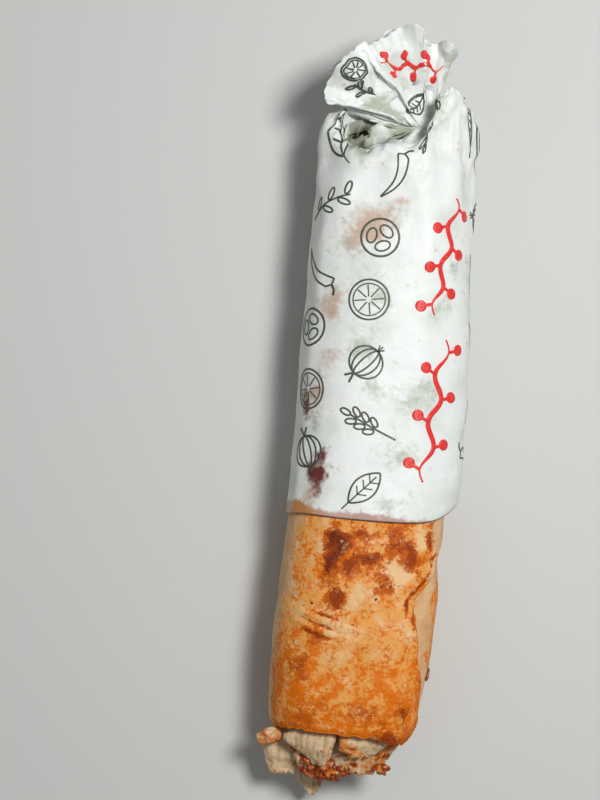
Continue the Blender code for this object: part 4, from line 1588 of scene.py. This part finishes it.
@dataclass
class PaperPrint:
    """A print of simple figures, laid on the paper as thin raised ink that follows every crease."""

    paper: PaperWrap
    ink_rise: float = 0.11 * MM
    ink_sink: float = 0.05 * MM
    across: tuple = (-0.5, -0.25, 0, 0.25, 0.5)
    shoulder_rows_per_mm: float = 1.2
    fan_reach: tuple = (0.12, 0.97)
    outline_columns: tuple = (-54, -29, -4, 50, 72)
    outline_rows: int = 6
    first_row: float = -31
    row_step: float = 25
    red_columns: tuple = (24, -79)

    def __post_init__(self) -> None:
        """Keeps the paper's grid, its normals, and the way round the sleeve in mm at each angle."""
        self.grid = self.paper.grid()
        self.normals = grid_normals(self.grid)
        angle = np.radians(np.arange(-90, 271, 1.0))
        outline = self.paper.form.points(0 * angle, angle, np.full(angle.shape, -self.paper.out))
        steps = np.linalg.norm(np.diff(outline, axis=0), axis=1)
        around = np.concatenate([[0], np.cumsum(steps)]) / MM
        self.angles = np.arange(-90, 271, 1.0)
        self.around = np.interp(90, self.angles, around) - around

    def on_sleeve(self, flat: Array) -> tuple[Array, Array]:
        """Grid row and column of places on the sleeve.

        Args:
            flat: Places in mm: the way round from the top, positive to the right, and y.

        Returns:
            Rows and columns, with fractions.
        """
        degrees = np.interp(-flat[..., 0], -self.around, self.angles)
        hem = self.paper.hem(degrees)
        share = (flat[..., 1] * MM - hem) / (self.paper.form.end_y - hem)
        over = np.maximum(share - 1, 0) * (self.paper.form.end_y - hem) / MM
        row = np.clip(share, 0, 1) * (self.paper.sleeve_rows - 1) + over * self.shoulder_rows_per_mm
        return row, degrees / 360 * self.paper.columns

    def on_fan(self, flat: Array) -> tuple[Array, Array]:
        """Grid row and column of places on the fan's front.

        Args:
            flat: Places in mm, x and y as seen from above.

        Returns:
            Rows and columns, with fractions.
        """
        away = flat - np.array(self.paper.neck[:2])
        bearing = np.degrees(np.arctan2(away[..., 1], away[..., 0]))
        table = np.array(self.paper.front, float).T
        main = table[:, table[0] <= self.paper.main_flap_to]
        left = table[:, table[0] >= self.paper.left_flap_from]
        on_main, on_left = (np.interp(bearing, flap[1], flap[0]) for flap in (main, left))
        degrees = np.where(bearing < self.paper.between_flaps, on_main, on_left)
        length = np.interp(degrees, table[0], table[3])
        share = np.clip(np.linalg.norm(away, axis=-1) / length, *self.fan_reach)
        start = self.paper.sleeve_rows + self.paper.shoulder_rows
        return start + share * (self.paper.fan_rows - 1), degrees / 360 * self.paper.columns

    def ribbon(self, stroke: Stroke, place: Callable[[Array], tuple[Array, Array]], rise: float) -> Surface:
        """Ink along a stroke: five points across it above the paper, and the same just under the paper.

        Args:
            stroke: The line on flat paper.
            place: The function that finds flat places on the paper's grid.
            rise: How far the ink stands above the paper, in metres.

        Returns:
            A closed, flat tube.
        """
        ahead = np.gradient(stroke.line, axis=0)
        ahead /= np.maximum(np.linalg.norm(ahead, axis=1, keepdims=True), 1e-9)
        aside = np.stack([ahead[:, 1], -ahead[:, 0]], axis=1)
        across = np.array(self.across)[None, :, None] * stroke.width[:, None, None] * aside[:, None, :]
        row, column = place(stroke.line[:, None, :] + across)
        point, normal = sampled(self.grid, row, column), sampled(self.normals, row, column)
        normal /= np.maximum(np.linalg.norm(normal, axis=-1, keepdims=True), 1e-9)
        over, under = point + rise * normal, point - self.ink_sink * normal
        return Surface(np.concatenate([over, under[:, ::-1]], axis=1))

    def outline_layout(self) -> list[Stroke]:
        """Outline figures in columns round the sleeve, every second column half a step further on.

        Returns:
            The strokes on flat paper.
        """
        m = Motifs
        figures = (m.tomato(15), m.wheat(22), m.pepper(19), m.onion(17), m.twig(21), m.citrus(16), m.leaf(17))
        made = []
        for i, column in enumerate(self.outline_columns):
            for j in range(self.outline_rows):
                y = self.first_row + self.row_step * (j + 0.5 * (i % 2))
                place = (column + 2.5 * math.sin(5 * j + i), y)
                made += moved(figures[(3 * i + 2 * j) % len(figures)], place, 150 * math.sin(3 * i + 7 * j))
        return made + moved(m.leaf(9), (36, 108), 20) + moved(m.twig(12), (13, 110), 150)

    def red_layout(self) -> list[Stroke]:
        """Bold red berry twigs down the right of the sleeve, and again on its other side.

        Returns:
            The strokes on flat paper.
        """
        made = []
        for column, (length, y, turn) in product(self.red_columns, ((58, 2, -6), (48, 64, 172))):
            made += moved(Motifs.berries(length, 2.2, 4.6), (column, y), turn)
        return made

    def build(self) -> list[bpy.types.Object]:
        """Lays both inks on the sleeve and the fan.

        Returns:
            The two prints.
        """
        m = Motifs
        fan_outline = (
            moved(m.citrus(9), (-21.5, 135), 0) + moved(m.twig(13), (-14, 126.5), 72)
            + moved(m.leaf(9.5), (4.0, 128), 130))
        fan_red = moved(m.berries(25, 1.5, 3.0), (2.6, 139.5), 92)
        inks = {
            Ink.OUTLINE: (self.outline_layout(), fan_outline, PrintedInk()),
            Ink.RED: (self.red_layout(), fan_red,
                      PrintedInk("ink_red", linear(224, 44, 40), linear(232, 96, 88)))}
        pieces = []
        for ink, (sleeve, fan, finish) in inks.items():
            surfaces = [self.ribbon(stroke, self.on_sleeve, self.ink_rise) for stroke in sleeve]
            surfaces += [self.ribbon(stroke, self.on_fan, 2 * self.ink_rise) for stroke in fan]
            pieces.append(build_piece(f"print_{ink.value}", surfaces, finish))
        return pieces


# Chicken

@dataclass(frozen=True)
class MeatSlice:
    """A torn slice. Each station is (y, left x, right x, middle z) in mm, from its root to its tip.

    Attributes:
        seared: How much of it is browned, and from which side: (share, x direction).
        sauced: How much sauce its tip carries.
        strands: Distance between its stripes in mm.
        striped: How strongly the stripes show, 0 to 1.
        ends: The rings that round each end off: (share of the last ring's size, distance from it in mm).
    """

    stations: tuple
    thickness: float
    tilt: float
    rough: float
    seed: int
    rings: int = 9
    sides: int = 12
    seared: tuple = (0.2, 0.0)
    sauced: float = 0.2
    strands: float = 2.2
    striped: float = 0.15
    ends: tuple = ((0.88, 0.25), (0.66, 0.45), (0.36, 0.55))

    def coarse(self) -> Array:
        """The solid's own points: rings of a rounded oblong along the stations, thinner at both ends.

        Returns:
            Rings by sides of places, in mm.
        """
        stations = sorted(self.stations)
        ys = np.linspace(self.stations[0][0], self.stations[-1][0], self.rings)
        left, right, middle = (eased(ys, [(s[0], s[i]) for s in stations]) for i in (1, 2, 3))
        shares = np.linspace(0, 1, self.rings)
        tall = self.thickness / 2 * np.clip(np.minimum(shares / 0.12, (1 - shares) / 0.22), 0.45, 1)
        turn = np.linspace(0, FULL_TURN, self.sides, endpoint=False)
        across, upright = rounded(np.cos(turn), 0.6), rounded(np.sin(turn), 0.8)
        random = np.random.default_rng(self.seed)
        rows = []
        for i in range(self.rings):
            lumps = 1 + self.rough / self.thickness * random.uniform(-1, 1, self.sides)
            centre, half = (left[i] + right[i]) / 2, (right[i] - left[i]) / 2
            x = centre + half * across * (1 + 0.25 * self.rough / half * random.uniform(-1, 1, self.sides))
            z = middle[i] + tall[i] * upright * lumps + self.tilt * (x - centre) / (2 * half)
            y = ys[i] + self.rough * 0.5 * random.uniform(-1, 1, self.sides) * (0 < i < self.rings - 1)
            rows.append(np.stack([x, y, z], axis=1))
        return np.array(rows)

    def surface(self, rows: int = 84, columns: int = 110) -> Surface:
        """The slice in full detail: the solid's points smoothed, a rounded torn tip, and raised fibres.

        Args:
            rows: Rows along the slice.
            columns: Columns round it.

        Returns:
            The surface with the marks of its finish, in metres.
        """
        smooth = smooth_through(self.coarse(), rows, closed=False)
        smooth = smooth_through(smooth.swapaxes(0, 1), columns, closed=True).swapaxes(0, 1)
        middle = smooth.mean(axis=1, keepdims=True)
        along = np.linspace(0, 1, rows)[:, None]
        onward = np.sign(self.stations[-1][0] - self.stations[0][0])
        root = [middle[0] + (smooth[0] - middle[0]) * s - [0, onward * d, 0] for s, d in self.ends[::-1]]
        tip = [middle[-1] + (smooth[-1] - middle[-1]) * s + [0, onward * d, 0] for s, d in self.ends]
        points = np.concatenate([np.array(root), smooth, np.array(tip)])
        along = np.concatenate([np.zeros((3, 1)), along, np.ones((3, 1))])
        wander = 0.9 * Noise(self.seed + 90).at(points * [0.6, 0.12, 0.6], 2.0)
        phase = points[..., 0] / self.strands + 0.3 * wander
        stripes = self.striped * rising(np.abs(2 * (phase % 1) - 1), 0.55, 1.0)
        strings = Noise(self.seed + 93).rough(points * [1, 0.14, 1] + wander[..., None], 1.0, 3)
        lumps = Noise(self.seed + 91).rough(points, 3.4, 3)
        normals = grid_normals(points)
        outward = np.sign((normals * (points - points.mean(axis=1, keepdims=True))).sum())
        rise = 0.26 * lumps - 0.16 * stripes + 0.13 * strings
        torn = Noise(self.seed + 92).rough(points * [1, 0, 1], 1.8, 2) * rising(along, 0.7, 1.0)
        points = points + outward * normals * rise[..., None]
        points[..., 1] += onward * 1.1 * torn
        share, side = self.seared
        across = (points[..., 0] - points[..., 0].mean(axis=1, keepdims=True)) / np.ptp(points[..., 0])
        marks = {
            "fibres": 0.5 + 0.32 * strings - 0.5 * stripes,
            "seared": np.clip(share + side * across + 0.35 * lumps, 0, 1.3),
            "sauced": self.sauced * rising(along, 0.45, 1.0) + 0.25 * lumps}
        return Surface(points * MM, marks=marks)


@dataclass(frozen=True)
class Chicken:
    """The torn slices that stick out of the mouth, each standing for its own solid."""

    slices: tuple = (
        ("chicken_strip_centre", MeatSlice(
            ((-122, -19.5, -5.0, 35.8), (-129.2, -20.8, -4.2, 36.2), (-133.5, -25.0, -3.8, 36.6),
             (-137, -24.6, -4.6, 36.6), (-141, -17, -5.8, 36.2), (-145.2, -10.8, -7.6, 35.4)),
            5.4, 5.5, 0.35, 1, seared=(0.02, 0.0), sauced=0.0, striped=0.5)),
        ("chicken_slice_right_upper", MeatSlice(
            ((-122, -2.4, 15, 37.8), (-134, -2.8, 17.4, 37.4), (-138, -2.4, 14.5, 37.2), (-140, 2, 10, 36.8)),
            5.2, -4.0, 0.35, 2, seared=(0.44, -0.9), sauced=0.08)),
        ("chicken_slice_right_lower", MeatSlice(
            ((-122, -5, 16, 29.6), (-139, -5.8, 17.6, 29.4), (-144, -5.2, 17.2, 28.6), (-148, -1, 12, 27.8)),
            6.2, -1.8, 0.5, 3, seared=(0.40, 0.6), sauced=0.22)),
        ("chicken_slice_left", MeatSlice(
            ((-122, -22.5, -10, 25.0), (-130.5, -24.0, -11, 24.6), (-138, -33.2, -14, 23.8),
             (-145, -32.4, -17, 22.8), (-151.4, -29.6, -18.6, 21.6)),
            6.2, 0.5, 0.6, 4, seared=(0.16, 0.3), sauced=0.02)),
        ("chicken_corner_right", MeatSlice(
            ((-122, 14, 21.5, 20.8), (-136, 14.2, 22.2, 20.8), (-142.6, 15.6, 18.6, 20.4)),
            6.6, 0.0, 0.6, 5, seared=(0.62, 0.2), sauced=0.4)),
        ("chicken_chunk_sauced", MeatSlice(
            ((-136, -16.5, -11.5, 29.2), (-143, -20.6, -12.2, 29.4), (-149, -17.5, -13.0, 29.0)),
            4.8, 0.0, 0.6, 6, seared=(0.4, 0.3), sauced=0.8)),
        ("chicken_slice_low", MeatSlice(
            ((-122, -15.5, -6, 15.6), (-141, -17, -6.2, 15.4), (-155, -17.6, -6.6, 14.6),
             (-159.5, -13.5, -8.4, 14.0)),
            6.4, 0.6, 0.7, 7, seared=(0.14, 0.4), sauced=0.3)))
    curl: MeatSlice = MeatSlice(((0, -3.2, 2.6, 0), (-4, -3.8, 3.0, 0.8), (-9, -2.6, 2.2, -0.6)),
                                3.0, 0.0, 0.4, 8, rings=7, seared=(0.74, 0.3), sauced=0.3, strands=1.4)
    curl_place: tuple = (-26.4, -134.0, 31.2)
    curl_turn: float = math.radians(-68)

    def build(self) -> list[bpy.types.Object]:
        """Makes every slice and the curl.

        Returns:
            The pieces.
        """
        pieces = []
        surfaces = {name: cut.surface() for name, cut in self.slices}
        curl = self.curl.surface(60, 70)
        c, s = math.cos(self.curl_turn), math.sin(self.curl_turn)
        points = curl.points @ np.array([[c, s, 0], [-s, c, 0], [0, 0, 1]]) + MM * np.array(self.curl_place)
        surfaces["chicken_curl_left"] = Surface(points, marks=curl.marks)
        for name, surface in surfaces.items():
            pieces.append(build_piece(f"{name}_meat", [surface], RoastChicken(), (name,)))
        return pieces


@dataclass(frozen=True)
class Lump:
    """A small uneven lump: its middle and half sizes in mm, and how it is turned about Z and X in degrees."""

    middle: tuple
    half: tuple
    turn: tuple
    seed: int
    uneven: float = 0.22

    def surface(self, rows: int = 12, columns: int = 16) -> Surface:
        """A sphere in rows and columns, pushed in and out by noise, stretched, turned and put in place.

        Args:
            rows: Rows from pole to pole.
            columns: Columns round it.

        Returns:
            The lump, in metres.
        """
        pole = 0.14
        tall = np.linspace(pole, math.pi - pole, rows)[:, None]
        turn = np.linspace(0, FULL_TURN, columns, endpoint=False)[None, :]
        level, upright = np.sin(tall), np.cos(tall) + 0 * turn
        ball = np.stack([level * np.cos(turn), level * np.sin(turn), upright], axis=-1)
        lumps = Noise(self.seed).rough(ball + self.seed % 17, 0.8, 2)
        body = ball * (1 + self.uneven * lumps)[..., None] * np.array(self.half)
        z, x = np.radians(self.turn)
        about_x = np.array([[1, 0, 0], [0, np.cos(x), np.sin(x)], [0, -np.sin(x), np.cos(x)]])
        about_z = np.array([[np.cos(z), np.sin(z), 0], [-np.sin(z), np.cos(z), 0], [0, 0, 1]])
        points = MM * (body @ about_x @ about_z + self.middle)
        marks = {"fibres": 0.5 + 0.5 * lumps, "seared": 0.35 + 0.5 * lumps, "sauced": 0.5 + 0.4 * lumps[::-1]}
        return Surface(points, marks=marks)


@dataclass(frozen=True)
class Filling:
    """The core that runs through the bread, chopped chicken heaped at its face, and sauce over it."""

    bread: Flatbread
    fit_gap: float = 0.35 * MM
    core_rows: tuple = (-125, -123.5, -119, -112, -104, -96, -88, -80, -72, -64, -56, -48, 40, 82, 88, 91)
    rounding: tuple = ((-125, 0.7), (-123.5, 0.9), (-119, 0.98), (-112, 1), (82, 0.98), (88, 0.88), (91, 0.7))
    chunks: tuple = ((-18.5, 14.5, 7, 7.5), (1.5, 13.4, 10, 10.5), (11.0, 13.6, 8, 8.5), (3.5, 21.8, 9, 10),
                     (-7.5, 25.5, 7, 7))
    face_y: float = -125.0
    chopped: int = 90
    pooled: tuple = (
        Lump((-6.8, -147.0, 30.4), (4.2, 2.8, 1.8), (16, 10), 301, 0.45),
        Lump((-12.4, -147.8, 29.4), (3.4, 2.6, 1.9), (0, 20), 303, 0.45),
        Lump((-8.6, -149.8, 27.4), (3.2, 2.0, 1.8), (0, 0), 304, 0.45),
        Lump((3.8, -140.2, 35.2), (6.0, 0.6, 0.5), (4, 0), 309, 0.3),
        Lump((-20.0, -140.4, 28.8), (1.8, 2.2, 1.4), (0, 0), 310, 0.45))
    crumb_places: tuple = (
        (-8.0, -148.4, 29.6, 6.5, 2.6, 2.0, 38), (15.4, -145.2, 29.8, 2.6, 1.8, 1.0, 7),
        (-14.5, -143.6, 31.4, 1.8, 1.8, 0.7, 8), (0.6, -147.6, 29.0, 3.0, 1.2, 1.2, 8))
    drop: Lump = Lump((30.0, -105.0, 28.5), (2.0, 3.0, 3.0), (0, 0), 311, 0.3)

    def core(self) -> Surface:
        """The solid's own core: the outline set in by the sheet's layers, smaller at both ends.

        Returns:
            The core, closed at its ends.
        """
        winding = np.radians(np.arange(0, 360, 5.0))
        inner_end = (self.bread.turns - 1) * FULL_TURN
        one = np.clip((winding - inner_end - 0.15) / 0.3, 0, 1)
        layers = self.bread.inset(winding + FULL_TURN) * (1 - one) + self.bread.inset(winding) * one
        step = np.clip(1 - winding / 0.25, 0, 1) * (self.bread.sheet + self.bread.layer_gap)
        count = len(self.core_rows)
        along = np.interp(np.linspace(0, count - 1, 46), np.arange(count), self.core_rows)
        scale = np.interp(along, *np.array(self.rounding).T)[:, None]
        y = np.broadcast_to(along[:, None] * MM, (len(along), len(winding)))
        inset = layers + step + self.bread.sheet + self.fit_gap
        points = self.bread.form.points(y, self.bread.seam_angle(y) + winding, inset)
        points[..., 0] *= scale
        points[..., 2] = points[..., 2] * scale + self.bread.form.top / 2 * (1 - scale)
        lumps = Noise(95).rough(points / MM, 5.0, 2)
        even = np.full(lumps.shape, 0.5)
        return Surface(points, marks={"fibres": even, "seared": 0.5 + 0.4 * lumps, "sauced": even})

    def heap(self) -> list[Surface]:
        """The chunks of the solid's face, and many small shreds strewn over it by chance.

        Returns:
            The lumps.
        """
        made = []
        for i, (x, z, out, wide) in enumerate(self.chunks):
            half = (wide * 0.5, out * 0.8, wide * 0.38)
            chunk = Lump((x, self.face_y - out * 0.25, z), half, (8 * i - 14, 6), 320 + i)
            made.append(chunk.surface(20, 26))
        random = np.random.default_rng(96)
        angle = random.uniform(0, FULL_TURN, self.chopped)
        share = random.uniform(0.05, 0.95, self.chopped) ** 0.5
        x, z = 23 * share * np.cos(angle) - 1, 23 + 17 * share * np.sin(angle)
        y = self.face_y - random.uniform(0, 4, self.chopped) * (1.1 - share)
        for i in range(self.chopped):
            half = random.uniform(0.8, 2.6, 3) * (1.2, 1.0, 0.8)
            turn = tuple(random.uniform(0, 180, 2))
            made.append(Lump((x[i], y[i], z[i]), tuple(half), turn, 400 + i, 0.3).surface())
        return made

    def crumbs(self) -> list[Surface]:
        """Small sauced crumbs strewn by chance about their places: middle, spread and number.

        Returns:
            The lumps.
        """
        random = np.random.default_rng(97)
        made = []
        for x, y, z, spread_x, spread_y, spread_z, count in self.crumb_places:
            for i in range(count):
                middle = tuple((x, y, z) + random.uniform(-1, 1, 3) * (spread_x, spread_y, spread_z))
                half = tuple(random.uniform(0.8, 2.1, 3))
                turn = tuple(random.uniform(0, 180, 2))
                made.append(Lump(middle, half, turn, 600 + i, 0.4).surface())
        return made

    def build(self) -> list[bpy.types.Object]:
        """Makes the core with its heap, the sauce, and the drop at the roll's side.

        Returns:
            The filling and the sauce.
        """
        chopped = RoastChicken("chopped_chicken", meat=linear(190, 150, 108), between=linear(142, 92, 54))
        heaped = [self.core(), *self.heap()]
        filling = build_piece("filling_chopped", heaped, chopped, ("filling",))
        pools = [lump.surface(22, 28) for lump in (*self.pooled, self.drop)] + self.crumbs()
        return [filling, build_piece("sauce", pools, GlossySauce())]


# Studio

@dataclass(frozen=True)
class Studio:
    """A pale floor, soft light from the upper right, and a camera straight above at the photo's tilt."""

    height: float = 0.9
    level: float = 30 * MM
    middle: tuple = (-30.4 * MM, 1.7 * MM)
    tilt: float = math.radians(5)
    seen_length: float = 326.5 * MM
    sensor: float = 36.0
    floor_reach: float = 3.0
    key_place: tuple = (0.26, 0.20, 0.84)
    key_size: float = 0.20
    key_power: float = 6.7
    fill_place: tuple = (-0.5, -0.25, 0.9)
    fill_size: float = 0.8
    fill_power: float = 0.5
    ambient: float = 0.19

    def light(self, name: str, place: tuple, size: float, power: float) -> None:
        """Adds a square lamp that faces the sandwich.

        Args:
            name: The lamp's name.
            place: Where it hangs.
            size: Its side.
            power: Its watts.
        """
        lamp = bpy.data.lights.new(name, "AREA")
        lamp.size, lamp.energy = size, power
        holder = bpy.data.objects.new(name, lamp)
        holder.location = place
        holder.rotation_euler = (-Vector(place)).to_track_quat("-Z", "Y").to_euler()
        bpy.context.scene.collection.objects.link(holder)

    def build(self) -> None:
        """Makes the floor, the lamps, the even light all round and the camera."""
        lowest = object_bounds()[0].z
        corners = [(x * self.floor_reach, y * self.floor_reach, lowest)
                   for x, y in ((-1, -1), (1, -1), (1, 1), (-1, 1))]
        mesh = bpy.data.meshes.new("studio_floor")
        mesh.from_pydata(corners, [], [(0, 1, 2, 3)])
        mesh.materials.append(StudioFloor().material())
        floor = bpy.data.objects.new("studio_floor", mesh)
        bpy.context.scene.collection.objects.link(floor)
        floor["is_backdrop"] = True
        self.light("key", self.key_place, self.key_size, self.key_power)
        self.light("fill", self.fill_place, self.fill_size, self.fill_power)
        world = bpy.data.worlds.new("studio")
        world.use_nodes = True
        background = world.node_tree.nodes["Background"]
        background.inputs["Strength"].default_value = self.ambient
        background.inputs["Color"].default_value = (1, 1, 1, 1)
        bpy.context.scene.world = world
        bpy.context.scene.view_settings.view_transform = "Standard"
        camera = bpy.data.cameras.new("camera")
        camera.sensor_width = self.sensor
        camera.lens = camera.sensor_width * self.height / self.seen_length
        holder = bpy.data.objects.new("camera", camera)
        holder.location = (*self.middle, self.level + self.height)
        holder.rotation_euler = (0, 0, self.tilt)
        bpy.context.scene.collection.objects.link(holder)
        bpy.context.scene.camera = holder


def main() -> None:
    """Builds every part of the sandwich and the studio."""
    logging.basicConfig(level=logging.INFO, format="%(name)s: %(message)s")
    bread = Flatbread()
    bread.build()
    paper = PaperWrap()
    paper.build()
    PaperPrint(paper).build()
    Chicken().build()
    Filling(bread).build()
    Studio().build()
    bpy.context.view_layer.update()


if __name__ == "__main__":
    main()
